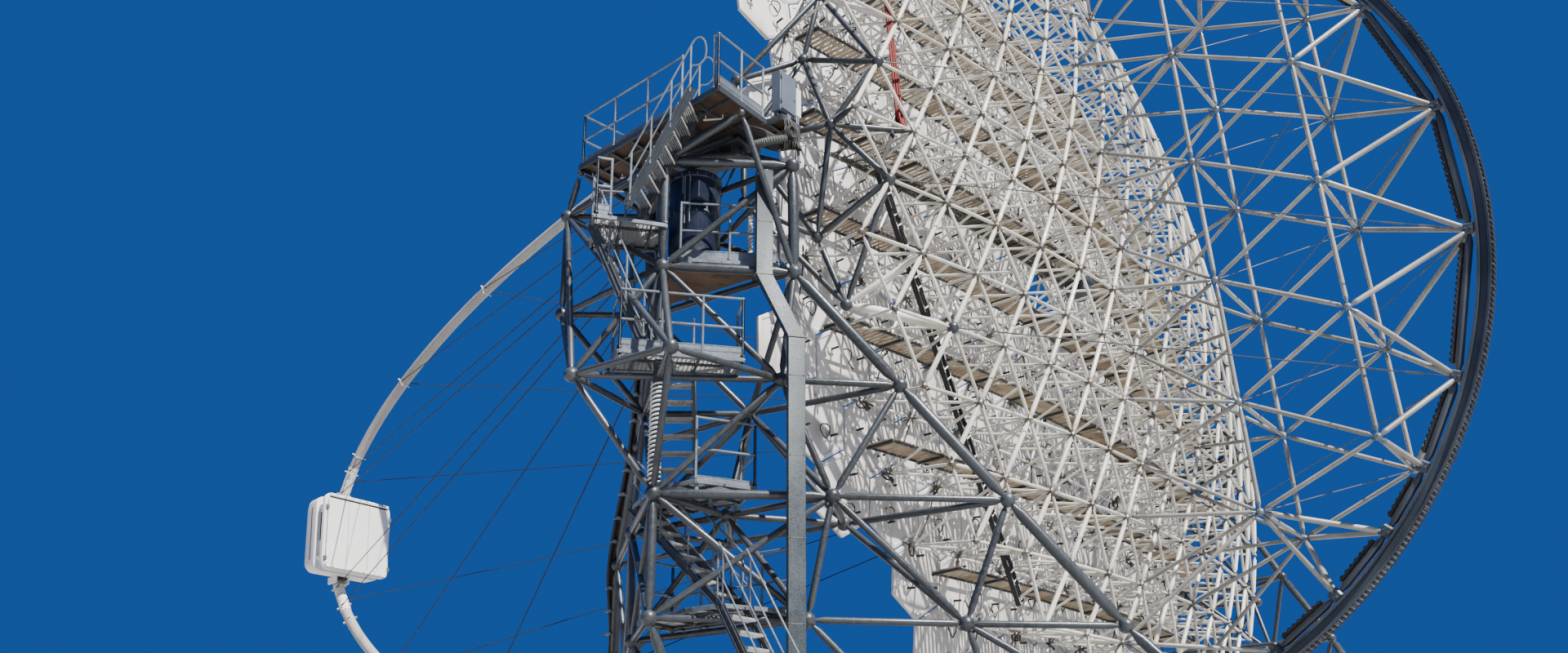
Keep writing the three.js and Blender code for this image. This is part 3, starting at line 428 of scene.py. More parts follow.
def smooth(points, steps=5):
    """Extra points on a curve through the given ones."""
    points = np.array(points, float)
    padded = np.vstack([2 * points[0] - points[1], points, 2 * points[-1] - points[-2]])
    out = []
    for i in range(1, len(padded) - 2):
        p0, p1, p2, p3 = padded[i - 1:i + 3]
        for k in range(steps):
            t = k / steps
            out.append(0.5 * (2 * p1 + (p2 - p0) * t + (2 * p0 - 5 * p1 + 4 * p2 - p3) * t * t
                              + (3 * p1 - p0 - 3 * p2 + p3) * t ** 3))
    out.append(points[-1])
    return out


def slab(shape, outline, low, high):
    """A level plate over an outline of (x, y) corners."""
    outline = np.array(outline, float)
    x, y = outline[:, 0], outline[:, 1]
    if np.sum(x * np.roll(y, -1) - y * np.roll(x, -1)) < 0:
        outline = outline[::-1]
    loft(shape, [np.column_stack([outline, np.full(len(outline), z)]) for z in (low, high)])


def spans(outline, direction, offset):
    """The stretches of a line across a flat outline, as pairs of (x, y) points."""
    d = np.array([math.cos(direction), math.sin(direction)])
    n = np.array([-d[1], d[0]])
    hits = []
    for p, q in zip(outline, outline[1:] + outline[:1]):
        p, q = np.array(p, float), np.array(q, float)
        a, b = p @ n - offset, q @ n - offset
        if (a > 0) != (b > 0):
            hits.append((p + (q - p) * a / (a - b)) @ d)
    hits.sort()
    return [(n * offset + d * s, n * offset + d * t) for s, t in zip(hits[::2], hits[1::2])]


def bars_over(shape, outline, direction, pitch, level, width, depth):
    """Parallel flat bars that fill an outline."""
    n = np.array([-math.sin(direction), math.cos(direction)])
    reach = [np.array(corner, float) @ n for corner in outline]
    offset = min(reach) + pitch / 2
    while offset < max(reach):
        for p, q in spans(outline, direction, offset):
            if np.linalg.norm(q - p) > SHORTEST_BAR:
                beam(shape, (*p, level), (*q, level), width, depth)
        offset += pitch


def nut(shape, centre, axis, size, height=0.03):
    collar(shape, np.asarray(centre, float), unit(axis), height, size, 6)


def bolt_circle(shape, centre, axis, radius, count, size):
    u, v = across(unit(axis))
    for point in placed(circle(radius, count), np.asarray(centre, float), u, v):
        nut(shape, point, axis, size)


def piece(name, body, shape, finish, replaces=()):
    """Turns a shape into an object that rides on a body and takes its finish; the parts it replaces are
    hidden.
    """
    mesh = bpy.data.meshes.new(name)
    mesh.from_pydata((np.concatenate(shape.points) * SCALE).tolist(), [], shape.faces)
    mesh.materials.append(finish)
    mesh.shade_smooth()
    mesh.set_sharp_from_angle(angle=SHARP_ANGLE)
    thing = add_object(name, mesh)
    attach(thing, body)
    if replaces:
        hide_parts(*replaces)


def far_side(shape):
    """The mirror image of a shape on the other side of the dish."""
    image = Shape()
    image.points = [points * np.array([1.0, -1.0, 1.0]) for points in shape.points]
    image.faces = [tuple(reversed(face)) for face in shape.faces]
    image.total = shape.total
    return image


# Rail, pivot and base frame

BASE_LEVEL = 1.3
RAIL_RADIUS = 11.2
RAIL_TOP = 0.36
CLAMP_OFFSET = 0.17
CORNER_X = 9.3
CORNER_Y = math.sqrt(RAIL_RADIUS ** 2 - CORNER_X ** 2)
CORNERS = [(CORNER_X, -CORNER_Y), (CORNER_X, CORNER_Y), (0, RAIL_RADIUS),
           (-CORNER_X, CORNER_Y), (-CORNER_X, -CORNER_Y), (0, -RAIL_RADIUS)]
PIVOT_TOP = 1.8


def rail():
    made = Shape()
    half = [(0.25, 0), (0.25, 0.05), (0.05, 0.085), (0.04, 0.26),
            (0.08, 0.29), (0.08, 0.345), (0.065, RAIL_TOP)]
    profile = [(-0.25, 0)] + half + [(-p, q) for p, q in reversed(half[1:])]
    rings = []
    for turn in turns(160):
        out = np.array([math.cos(turn), math.sin(turn), 0])
        rings.append(np.array([out * (RAIL_RADIUS + p) + UP * q for p, q in profile])[::-1])
    loft(made, rings, loop=True)
    for turn in turns(72):
        out = np.array([math.cos(turn), math.sin(turn), 0])
        for radius in (RAIL_RADIUS - CLAMP_OFFSET, RAIL_RADIUS + CLAMP_OFFSET):
            a, b = [out * (radius + end) + UP * 0.07 for end in (-0.07, 0.07)]
            beam(made, a, b, 0.14, 0.05, 0.008)
            nut(made, out * radius + UP * 0.11, UP, 0.06, 0.025)
    piece("rail_with_clamps", "base", made, STEEL, ["rail_ring"])


def pivot():
    foot, pin = shapes(2)
    turned(foot, [(0.9, 0.0), (0.9, 0.5), (0.86, 0.545), (0.4, 0.55)], 48)
    piece("pivot_plinth", "base", foot, STONE, ["pivot_base"])
    tube(pin, UP * 0.5, UP * PIVOT_TOP, 0.6, 32)
    tube(pin, UP * PIVOT_TOP, UP * 1.85, 0.52, 32)
    bolt_circle(pin, UP * 0.555, UP, 0.76, 12, 0.07)
    bolt_circle(pin, UP * 1.85, UP, 0.17, 6, 0.05)
    piece("pivot_pin", "base", pin, STEEL)


def base():
    made = Shape()
    corners = [np.array([*corner, BASE_LEVEL]) for corner in CORNERS]
    centre = UP * BASE_LEVEL
    for i, corner in enumerate(corners):
        following = corners[(i + 1) % 6]
        tube(made, corner, following, 0.26, 16)
        tube(made, centre, corner, 0.2, 16)
        tube(made, corner - UP * 0.35, corner + UP * 0.35, 0.66, 24)
        for level in (-0.32, 0.3):
            tube(made, corner + UP * level, corner + UP * (level + 0.04), 0.74, 24)
        bolt_circle(made, corner + UP * 0.35, UP, 0.24, 8, 0.05)
        ball(made, (corner + following) / 2, 0.46, 16, 10)
        along = unit(following - corner)
        for share in (0.25, 0.75):
            spot = corner + (following - corner) * share
            collar(made, spot, along, 0.04, 0.36, 16)
            bolt_circle(made, spot, along, 0.155, 8, 0.035)
    tube(made, centre, (corners[0] + corners[1]) / 2, 0.2, 16)
    hub = [(0.305, 0.58), (0.6, 0.58), (0.62, 0.6), (0.62, 0.7), (0.52, 0.74),
           (0.52, 1.6), (0.6, 1.64), (0.6, 1.74), (0.305, 1.745)]
    turned(made, hub, 40, loop=True)
    bolt_circle(made, UP * 1.745, UP, 0.5, 16, 0.05)
    piece("base_tubes", "undercarriage", made, STEEL, ["base_frame"])


WHEEL_RADIUS = 0.26
WHEEL_PLACES = (-0.52, 0.52)


def bogies():
    steel, wheels = shapes(2)
    axle = RAIL_TOP + WHEEL_RADIUS
    for x, y in CORNERS:
        out = unit((x, y, 0))
        side = np.array([-out[1], out[0], 0])
        middle = np.array([x, y, 0])

        def local(p, q, r):
            return middle + out * p + side * q + UP * r
        for p in (-0.26, 0.2):
            block(steel, (p, -0.85, axle - 0.1), (p + 0.06, 0.85, 0.9), 0.02, local)
        block(steel, (-0.24, -0.8, 0.8), (0.24, 0.8, 0.945), 0.02, local)
        for q in (-0.18, 0.18):
            block(steel, (-0.2, q - 0.02, axle), (0.2, q + 0.02, 0.82), 0.008, local)
        for q in WHEEL_PLACES:
            for p, radius in ((-0.075, WHEEL_RADIUS), (-0.09, 0.2)):
                tube(wheels, local(p, q, axle), local(-p, q, axle), 2 * radius, 32)
            tube(wheels, local(-0.28, q, axle), local(0.28, q, axle), 0.12, 16)
            for p in (-0.27, 0.27):
                bolt_circle(steel, local(p, q, axle), out, 0.045, 6, 0.02)
        for q in (-0.78, 0.66):
            block(steel, (-0.07, q, 0.42), (0.07, q + 0.12, 0.6), 0.01, local)
        block(steel, (0.255, -0.16, axle - 0.02), (0.262, 0.16, 0.88), 0.004, local)
    piece("bogie_frames", "undercarriage", steel, SLATE, [f"bogie_{i}" for i in range(1, 7)])
    piece("bogie_wheels", "undercarriage", wheels, BRIGHT)


# Towers

MIDDLE = [(CORNERS[5][i] + CORNERS[0][i]) / 2 for i in (0, 1)]
NODES = {
    "P0": (*CORNERS[5], BASE_LEVEL), "P3R": (*CORNERS[0], BASE_LEVEL), "MR": (*MIDDLE, BASE_LEVEL),
    "A0": (0, -13.5, 5.26), "A1R": (1.95, -11.8, 5.26), "A2R": (3.86, -9.93, 5.26), "A3R": (5.9, -8.14, 5.26),
    "B0": (0, -13.5, 7.35), "B1R": (2.3, -11.55, 7.35), "B2R": (4.55, -9.57, 7.35),
    "Bi": (0, -11.55, 7.35), "BjR": (1.33, -9.8, 7.35),
    "C0R": (1.13, -14.42, 9.43), "C1R": (1.6, -12.07, 9.43), "C2R": (3.1, -10.6, 9.43),
    "Ci": (0, -10.9, 9.43),
    "D0": (0, -13.45, 11.51), "D1R": (1.72, -11.85, 11.51), "D2L": (-3.05, -12.92, 11.51),
    "E0": (0, -13.45, 13.59), "E1R": (1.75, -11.95, 13.59), "E2L": (-3.05, -12.92, 13.59),
    "HR": (0.6, -11.98, 14.2), "S": (1.35, -12.95, 14.35), "T": (-2.7, -12.96, 14.42),
}
LEGS = "P3R-A3R A3R-B2R B2R-C2R C2R-D1R D1R-E1R P0-A0 A0-B0 B0-D0 D0-E0"
STOUT = "D0-D1R B0-B1R E0-E1R E2L-S"
BRACES = """P3R-A2R MR-A2R MR-A1R P0-A1R A0-A1R A1R-A2R A2R-A3R A1R-A1L A2R-B2R A2R-B1R A1R-B1R A0-B1R
A1R-B0 B1R-B2R B0-Bi Bi-B1R Bi-BjR BjR-B1R BjR-B2R BjR-A2R BjR-BjL A1R-Bi B1R-C2R B1R-C1R B0-C1R B0-C0R
C0R-C0L C0R-C1R C0L-C1R Ci-C1R Ci-C2R C1R-C2R Ci-Bi Ci-BjR Ci-B1R C1R-D1R Ci-D1R D0-C1R D0-C0R D1R-D1L
D1R-E1L D0-E1R E1R-E1L E1R-HR E0-HR HR-HL D2L-C0L D2L-C1L D2L-D1L D2L-E2L D2L-D0 E2L-C0R E2L-C0L E2L-D0
D1R-S E2L-T E2L-E0 S-E0 T-E1L E2L-E1L"""
ONE_SIDED = {"D2L", "E2L", "T", "S"}
FRONT_COLUMN = {"P0", "A0", "B0", "D0", "E0"}
LEG_WIDTH, STOUT_WIDTH, BRACE_WIDTH = 0.2, 0.165, 0.12
NODE_GAP = 0.11
BALL_WIDTH = 0.27
SMALL_BALLS = {"H": 0.2, "S": 0.13, "T": 0.13}


def node_at(name):
    """A tower node's place; those with an L mirror the ones with an R."""
    if name in NODES:
        return np.array(NODES[name], float)
    return np.array(NODES[name[:-1] + "R"], float) * (-1, 1, 1)


def both_sides(members):
    """The members as pairs of node names, with their images on the tower's other side."""
    pairs = set()
    other = {"R": "L", "L": "R"}
    for member in members.split():
        ends = member.split("-")
        pairs.add(tuple(sorted(ends)))
        if not ONE_SIDED.intersection(ends):
            pairs.add(tuple(sorted(end[:-1] + other.get(end[-1], end[-1]) for end in ends)))
    return sorted(pairs)


def tower():
    made = Shape()
    used = set()
    legs, stout = set(both_sides(LEGS)), set(both_sides(STOUT))
    for pair in sorted(legs | stout | set(both_sides(BRACES))):
        if pair in stout or FRONT_COLUMN.issuperset(pair):
            width = STOUT_WIDTH
        else:
            width = LEG_WIDTH if pair in legs else BRACE_WIDTH
        a, b = node_at(pair[0]), node_at(pair[1])
        tube(made, a, b, width, 14, neck=0.15 if width == BRACE_WIDTH else 0.22, gap=NODE_GAP)
        for end, other in ((a, b), (b, a)):
            along = unit(other - end)
            tube(made, end + along * 0.1, end + along * 0.17, 0.075, 6)
        used.update(pair)
    for name in sorted(used):
        if name[0] not in "PM":
            ball(made, node_at(name), SMALL_BALLS.get(name[0], BALL_WIDTH), 16, 11)
    seat = np.array([0, -11.98, 0])
    block(made, seat + (-0.72, -0.28, 14.34), seat + (0.72, 0.26, 14.42), 0.015)
    block(made, seat + (-0.66, -0.22, 14.1), seat + (0.66, 0.2, 14.2), 0.015)
    for x in (-0.5, -0.17, 0.17, 0.5):
        block(made, seat + (x - 0.02, -0.2, 14.15), seat + (x + 0.02, 0.2, 14.36), 0.005)
    return made


def strand(shape, low, high, radius, pitch, thick, start, steps):
    """One strand of a rope that winds round the line between two points."""
    low, high = np.array(low, float), np.array(high, float)
    u, v = across(unit(high - low))
    winds = np.linalg.norm(high - low) / pitch
    path = []
    for s in np.linspace(0, 1, int(winds * steps)):
        angle = start + 2 * math.pi * winds * s
        path.append(low + (high - low) * s + (u * math.cos(angle) + v * math.sin(angle)) * radius)
    sweep(shape, path, circle(thick, 6))


def wrapped_cable():
    """A braided wrap on the near tower's front column, and a rope beside the drive drum."""
    made = Shape()
    for k in range(2):
        strand(made, (0, -13.5, 7.5), (0, -13.47, 9.32), 0.1, 0.16, 0.02, math.pi * k, 16)
        strand(made, (0.75, -11.9, 11.8), (0.75, -11.9, 12.9), 0.028, 0.16, 0.026, math.pi * k, 12)
    piece("wrapped_cable", "undercarriage", made, ROPE)


def leg_cables():
    """Four cables clipped to the near tower's left leg."""
    leg, ties = shapes(2)
    stops = [node_at(name) for name in ("P3L", "A3L", "B2L", "C2L", "D1L")]
    for k in range(4):
        offset = np.array([-0.13 - 0.02 * (k % 2), -0.12 + 0.065 * k, 0.0])
        sweep(leg, smooth([stop + offset for stop in stops], 8), circle(0.034, 6))
    for a, b in zip(stops, stops[1:]):
        for share in (0.2, 0.4, 0.6, 0.8):
            spot = a + (b - a) * share
            block(ties, spot + (-0.18, -0.17, -0.03), spot + (-0.02, 0.13, 0.03), 0.008)
    piece("leg_cables", "undercarriage", leg, BLACK)
    piece("leg_cable_ties", "undercarriage", ties, BRIGHT)


# Bearings

BEARING_Y = (-12.22, -11.74)
BEARING_BOTTOM = 14.425
BEARING_RADIUS, BORE_RADIUS = 0.5, 0.31


def bearing():
    made = Shape()
    first, last = BEARING_Y
    foot = [(-0.5, BEARING_BOTTOM), (0.5, BEARING_BOTTOM), (0.5, 14.56), (0.4, 14.6), (0.47, 14.8)]
    cap = [(BEARING_RADIUS * math.cos(t), AXIS_HEIGHT + BEARING_RADIUS * math.sin(t))
           for t in np.linspace(0, math.pi, 17)]
    profile = foot + cap + [(-0.47, 14.8), (-0.4, 14.6), (-0.5, 14.56)]
    loft(made, [np.array([(x, y, z) for x, z in profile]) for y in (last, first)])
    for y in (first - 0.03, last):
        rings = [np.array([(BORE_RADIUS * math.cos(t) * k, depth, AXIS_HEIGHT + BORE_RADIUS * math.sin(t) * k)
                           for t in turns(32)])
                 for k, depth in ((1.0, y + 0.03), (1.4, y + 0.03), (1.4, y), (1.0, y))]
        loft(made, rings, loop=True)
        bolt_circle(made, (0, y + 0.015, AXIS_HEIGHT), SIDE, 0.39, 12, 0.035)
    block(made, (-0.55, first - 0.03, BEARING_BOTTOM), (0.55, last + 0.03, 14.5), 0.012)
    for x in (-0.48, 0.48):
        for y in (-12.15, -11.81):
            nut(made, (x, y, 14.52), UP, 0.07, 0.035)
    for x in (-0.53, 0.53):
        block(made, (x - 0.02, -12.06, 14.9), (x + 0.02, -11.9, 15.08), 0.006)
    return made


# Platforms, railings and stairs

GUARD_HEIGHT = 1.1
POST_WIDTH, HANDRAIL_WIDTH = 0.05, 0.046
TOE_PITCH = 0.13
RAIL_BAY = 0.75
GRATING_PITCH, CROSSBAR_PITCH, JOIST_PITCH = 0.045, 0.075, 0.55


def railing(shape, path, level, bay, toe):
    """Posts, two rails and toe boards along a level path."""
    path = [np.array([*point, level], float) for point in path]
    for a, b in zip(path, path[1:]):
        count = max(1, round(np.linalg.norm(b - a) / bay))
        for k in range(count + 1):
            foot = a + (b - a) * k / count
            tube(shape, foot - UP * 0.1, foot + UP * GUARD_HEIGHT, POST_WIDTH)
            nut(shape, foot + UP * 0.03, UP, 0.09, 0.015)
        for lift in (GUARD_HEIGHT, GUARD_HEIGHT / 2):
            tube(shape, a + UP * lift, b + UP * lift, HANDRAIL_WIDTH)
        rows = round(toe / TOE_PITCH)
        for row in range(rows):
            middle = UP * toe * (row + 0.5) / rows
            beam(shape, a + middle, b + middle, 0.012, toe / rows - 0.006)
            lip = middle + UP * 0.4 * toe / rows
            beam(shape, a + lip, b + lip, 0.024, 0.012)
    for corner in path:
        ball(shape, corner + UP * GUARD_HEIGHT, 0.056, 8, 5)


def edge_channels(shape, outline, level, depth):
    """Channels along an outline, drawn in a little towards its middle."""
    middle = np.mean(np.array(outline, float), axis=0)
    ring = [middle + (np.array(p) - middle) * 0.98 for p in outline]
    for p, q in zip(ring, ring[1:] + ring[:1]):
        beam(shape, (*p, level - depth / 2), (*q, level - depth / 2), 0.05, depth, 0.006)


def grated_deck(node, level, tube_level, outline, rails, posts, direction, toe):
    """A deck of grating in an edge frame, with joists, railing and posts."""
    steel, mat, joists = shapes(3)
    crossways = direction + math.pi / 2
    edge_channels(steel, outline, level - 0.005, 0.075)
    bars_over(mat, outline, direction, GRATING_PITCH, level - 0.02, 0.018, 0.03)
    bars_over(mat, outline, crossways, CROSSBAR_PITCH, level - 0.03, 0.02, 0.014)
    bars_over(joists, outline, crossways, JOIST_PITCH, level - 0.06, 0.035, 0.05)
    bars_over(joists, outline, direction, RAIL_BAY, level - 0.06, 0.035, 0.05)
    railing(steel, rails, level, RAIL_BAY, toe)
    for post in posts:
        tube(steel, (*post, tube_level), (*post, level - 0.05), 0.08, 10)
    piece(f"{node}_frame_joists", "undercarriage", joists, STEEL)
    piece(f"{node}_frame", "undercarriage", steel, BRIGHT, [node])
    piece(f"{node}_frame_grating", "undercarriage", mat, GRATE)


DECKS = (
    # node, its level, the level of the tubes under it, outline, rails, posts, direction and toe board
    ("balcony", 9.75, 9.43,
     [(-0.19, -14.28), (1.24, -12.64), (0.66, -12.08), (-0.96, -13.67)],
     [(-0.91, -13.68), (-0.19, -14.24), (1.2, -12.64), (0.66, -12.12)],
     [(0.2, -13.285), (0.9, -12.678)], 0.85, 0.2),
    ("stair_landing", 12.3, 11.51,
     [(-0.66, -14.56), (0.11, -13.48), (-0.69, -12.78), (-1.62, -13.66)],
     [(0.07, -13.48), (-0.69, -12.82)],
     [(-0.9, -13.29), (-1.4, -13.2), (-0.72, -12.8)], 0.85, 0.2),
    ("housing_deck", 11.75, 11.51,
     [(0, -13.3), (1.5, -11.85), (1.5, -11.78), (-1.5, -11.78), (-1.5, -11.85)],
     [(0.12, -13.12), (1.4, -11.9)],
     [(0.8, -11.85), (-0.8, -11.85), (0.35, -13.124)], 0.0, 0.18),
    ("middle_deck", 7.6, 7.35,
     [(-1.5, -12.4), (-0.4, -13.1), (0.6, -13.1), (1.1, -12.1), (0.3, -11.5), (-1.5, -11.5)],
     [(0.55, -13.06), (1.06, -12.1), (0.3, -11.54)],
     [(-1, -11.55), (0, -12), (0.55, -13.034), (-0.55, -13.034)], 0.0, 0.08),
    ("lower_deck", 5.45, 5.26,
     [(-1.2, -12.5), (0.4, -13.05), (1.15, -13.05), (1.6, -12.1), (1.6, -11.6), (-1.2, -11.6)],
     [(1.56, -11.64), (-1.16, -11.64), (-1.16, -12.46)],
     [(-1, -11.8), (1, -11.8), (0.95, -12.672)], 0.0, 0.12),
)


def deck_trim():
    """The landing's other rails and the boards under the housing deck."""
    rails, boards = shapes(2)
    for path in ([(-0.49, -14.31), (-0.63, -14.51), (-0.9, -14.26)],
                 [(-1.3, -13.88), (-1.57, -13.66), (-0.73, -12.84)]):
        railing(rails, path, 12.3, 0.5, 0.2)
    slab(boards, [(0, -13.2), (1.42, -11.88), (1.42, -11.8), (-1.42, -11.8), (-1.42, -11.88)], 11.66, 11.685)
    piece("landing_rails", "undercarriage", rails, BRIGHT)
    piece("housing_deck_boards", "undercarriage", boards, BOARD)


TOP = [(-2.73, -12.98), (1.35, -13.6), (1.3, -12.15), (1.66, -12.15), (1.66, -11.62), (-2.6, -11.62)]
TOP_LEVEL = 14.6


def top_platform():
    steel, under, plates, rails, lamps = made = shapes(5)
    for p, q in zip(TOP, TOP[1:] + TOP[:1]):
        beam(steel, (*p, TOP_LEVEL - 0.06), (*q, TOP_LEVEL - 0.06), 0.045, 0.12, 0.006)
    bars_over(steel, TOP, math.pi / 2, 0.62, TOP_LEVEL - 0.075, 0.06, 0.09)
    bars_over(steel, TOP, -0.15, 0.72, TOP_LEVEL - 0.07, 0.05, 0.08)
    slab(under, [(0.995 * x, -12.4 + (y + 12.4) * 0.99) for x, y in TOP], TOP_LEVEL - 0.055, TOP_LEVEL - 0.03)
    slab(plates, TOP, TOP_LEVEL - 0.028, TOP_LEVEL)
    railing(rails, [(-2.55, -11.66), (-2.68, -12.94), (0.3, -13.4)], TOP_LEVEL, 1.05, 0.14)
    railing(rails, [(1.18, -13.53), (1.3, -13.55), (1.25, -12.2)], TOP_LEVEL, 0.7, 0.26)
    for x, y, turn in ((0.75, -13.0, 0.5), (-0.9, -12.7, 0.1), (-2.0, -12.3, 0.4)):
        half = np.array([math.cos(turn), math.sin(turn), 0]) * 0.2
        spot = np.array([x, y, TOP_LEVEL - 0.2])
        tube(lamps, spot - half, spot + half, 0.035)
        for sign in (-1, 1):
            tube(lamps, spot + half * 0.8 * sign, spot + half * 0.8 * sign + UP * 0.09, 0.02, 6)
    return made


STAIR_WIDTH = 0.66
STAIR_RISE = 0.26
RAIL_RISE = UP * 0.95
FLIGHTS = (
    # name, bottom, top, number of sheets under it
    ("stairs_ground", (4.5, -13.1, 0.15), (1.25, -12.9, 5.45), 0),
    ("stairs_lower", (0.6, -12.05, 5.54), (-1.6, -12.0, 7.6), 0),
    ("stairs_middle", (-1.0, -11.75, 7.69), (-0.1, -12.95, 9.75), 0),
    ("stairs_upper", (-0.2, -13.5, 9.84), (-1.12, -14.05, 12.3), 4),
    ("stairs_top", (-0.25, -14.0, 12.39), (0.74, -13.5, 14.6), 0),
)
HANDRAIL_BEND = (
    # height as a share of the handrail's, and metres forward, at the top flight's upper end
    (1.0, 0.0), (1.08, 0.06), (1.1, 0.14), (1.0, 0.22), (0.8, 0.25), (0.6, 0.22), (0.5, 0.12), (0.5, 0.0),
)


def stairs(name, bottom, top, panels):
    """A flight with its stringers, treads, handrails and the sheets on its underside."""
    sides, rails, treads, sheets = shapes(4)
    bottom, top = np.array(bottom, float), np.array(top, float)
    run = top - bottom
    side = unit((-run[1], run[0], 0)) * STAIR_WIDTH / 2
    flat = unit((run[0], run[1], 0))
    for edge in (-side, side):
        low, high = bottom + edge, top + edge
        beam(sides, low, high, 0.02, 0.18, 0.004)
        for lift in (-0.085, 0.085):
            beam(sides, low + UP * lift, high + UP * lift, 0.06, 0.02, 0.004)
        tube(rails, low + RAIL_RISE, high + RAIL_RISE, 0.036)
        tube(rails, low + RAIL_RISE / 2, high + RAIL_RISE / 2, 0.034)
        if name == "stairs_top":
            bend = [high + RAIL_RISE * k + flat * s for k, s in HANDRAIL_BEND]
            sweep(rails, smooth(bend, 2), circle(0.018, 6))
        for share in (0.04, 0.35, 0.66, 0.97):
            foot = low + run * share
            tube(rails, foot, foot + RAIL_RISE, 0.042)
    steps = round(run[2] / STAIR_RISE)
    for i in range(1, steps):
        middle = bottom + run * i / steps
        for offset in (-0.08, -0.04, 0.0, 0.04, 0.08):
            beam(treads, middle - side + flat * offset, middle + side + flat * offset, 0.012, 0.035)
        for offset, width in ((-0.1, 0.03), (0.1, 0.012)):
            beam(treads, middle - side + flat * offset, middle + side + flat * offset, width, 0.045)
    for k in range(panels):
        low, high = bottom + run * (k + 0.04) / panels, bottom + run * (k + 0.96) / panels
        beam(sheets, low - UP * 0.13, high - UP * 0.13, STAIR_WIDTH - 0.08, 0.012)
        beam(sides, low - side * 0.95 - UP * 0.145, low + side * 0.95 - UP * 0.145, 0.04, 0.02)
    piece(f"{name}_stringers", "undercarriage", sides, STEEL, [name])
    piece(f"{name}_rails", "undercarriage", rails, BRIGHT)
    piece(f"{name}_treads", "undercarriage", treads, GRATE)
    if panels:
        piece(f"{name}_sheets", "undercarriage", sheets, STEEL)


# Dish

FOCAL = 28.0
PITCH = 1.54
ROW = PITCH * math.sqrt(0.75)
MIRROR_LIMIT = 10.95
LATTICE_LIMIT = 11.35
MIRROR_CENTRE, BACK_CENTRE, BACK_CURVE = 0.85, 3.8, 0.0125
FACET, EDGE_FACET, EDGE_Z = 0.872, 0.8, 10.5
FACETS_LEFT_OUT = (0, 14)
FOOT_DEPTH = 0.5
NEIGHBOURS = ((0, 2), (1, 1), (1, -1))


def mirror_x(y, z):
    """Where the mirror's surface lies, by the dish's y and z."""
    return MIRROR_CENTRE - math.hypot(y, z) ** 2 / (4 * FOCAL)


def back_node(y, z):
    """A node of the lattice's back layer, in the dish's frame."""
    return BACK_CENTRE - BACK_CURVE * math.hypot(y, z) ** 2, y, z


def grid(limit):
    """Places of a triangular grid inside a circle, by row and half step."""
    found = {}
    for row in range(-9, 10):
        for column in range(-10, 11):
            y = PITCH * (column + (row % 2) / 2)
            z = ROW * row
            if math.hypot(y, z) <= limit:
                found[(row, 2 * column + row % 2)] = (y, z)
    return found


def around(centre, u, v, width, height, angles):
    """Points round a centre, at the given angles in the plane of u and v."""
    return [centre + u * width * math.cos(t) + v * height * math.sin(t) for t in angles]


def facet(front, back, fittings, y, z):
    """One hexagonal mirror with its shell, its rim and its three mounts."""
    normal = unit((1.0, y / (2 * FOCAL), z / (2 * FOCAL)))
    u = unit(np.cross((0, 0, 1.0), normal))
    v = np.cross(normal, u)
    centre = np.array([mirror_x(y, z), y, z])
    corners = math.pi / 6 + math.pi / 3 * np.arange(6)
    size = FACET if abs(z) < EDGE_Z else EDGE_FACET

    def hexagons(stations):
        return [np.array(on_dish(around(centre + normal * lift, u, v, size - inset, size - inset, corners)))
                for inset, lift in stations]
    loft(front, hexagons([(0.02, 0.0), (0.005, 0.012), (0.005, 0.02)]))
    loft(back, hexagons([(0.004, 0.021), (0.0, 0.03), (0.0, 0.085), (0.03, 0.1), (0.09, 0.1), (0.11, 0.08)]))
    spin = random.uniform(0, 2 * math.pi)
    for spot in around(centre, u, v, 0.44, 0.44, [spin + 2 * math.pi * k / 3 for k in range(3)]):
        tube(fittings, dish(*(spot + normal * 0.08)), dish(*(spot + normal * 0.3)), 0.05, 6)
        tube(back, dish(*(spot + normal * 0.08)), dish(*(spot + normal * 0.12)), 0.2, 10)
    spot = centre + normal * 0.16 + u * random.uniform(-0.4, 0.4) + v * random.uniform(-0.4, 0.4)
    loop = [dish(*(spot + u * 0.13 * math.cos(t) + v * 0.15 * math.sin(t) + normal * 0.03 * math.sin(2 * t)))
            for t in turns(10)]
    sweep(fittings, loop, circle(0.014, 4), loop=True)


def mirrors():
    front, back, fittings = shapes(3)
    for (row, half), (y, z) in sorted(grid(MIRROR_LIMIT).items()):
        if row or abs(half) not in FACETS_LEFT_OUT:
            facet(front, back, fittings, y, z)
    piece("mirror_faces", "dish", front, GLASS,
          ["mirror_upper_near", "mirror_upper_far", "mirror_lower_near", "mirror_lower_far"])
    piece("mirror_backs", "dish", back, BACK)
    piece("mirror_mounts", "dish", fittings, BLACK)


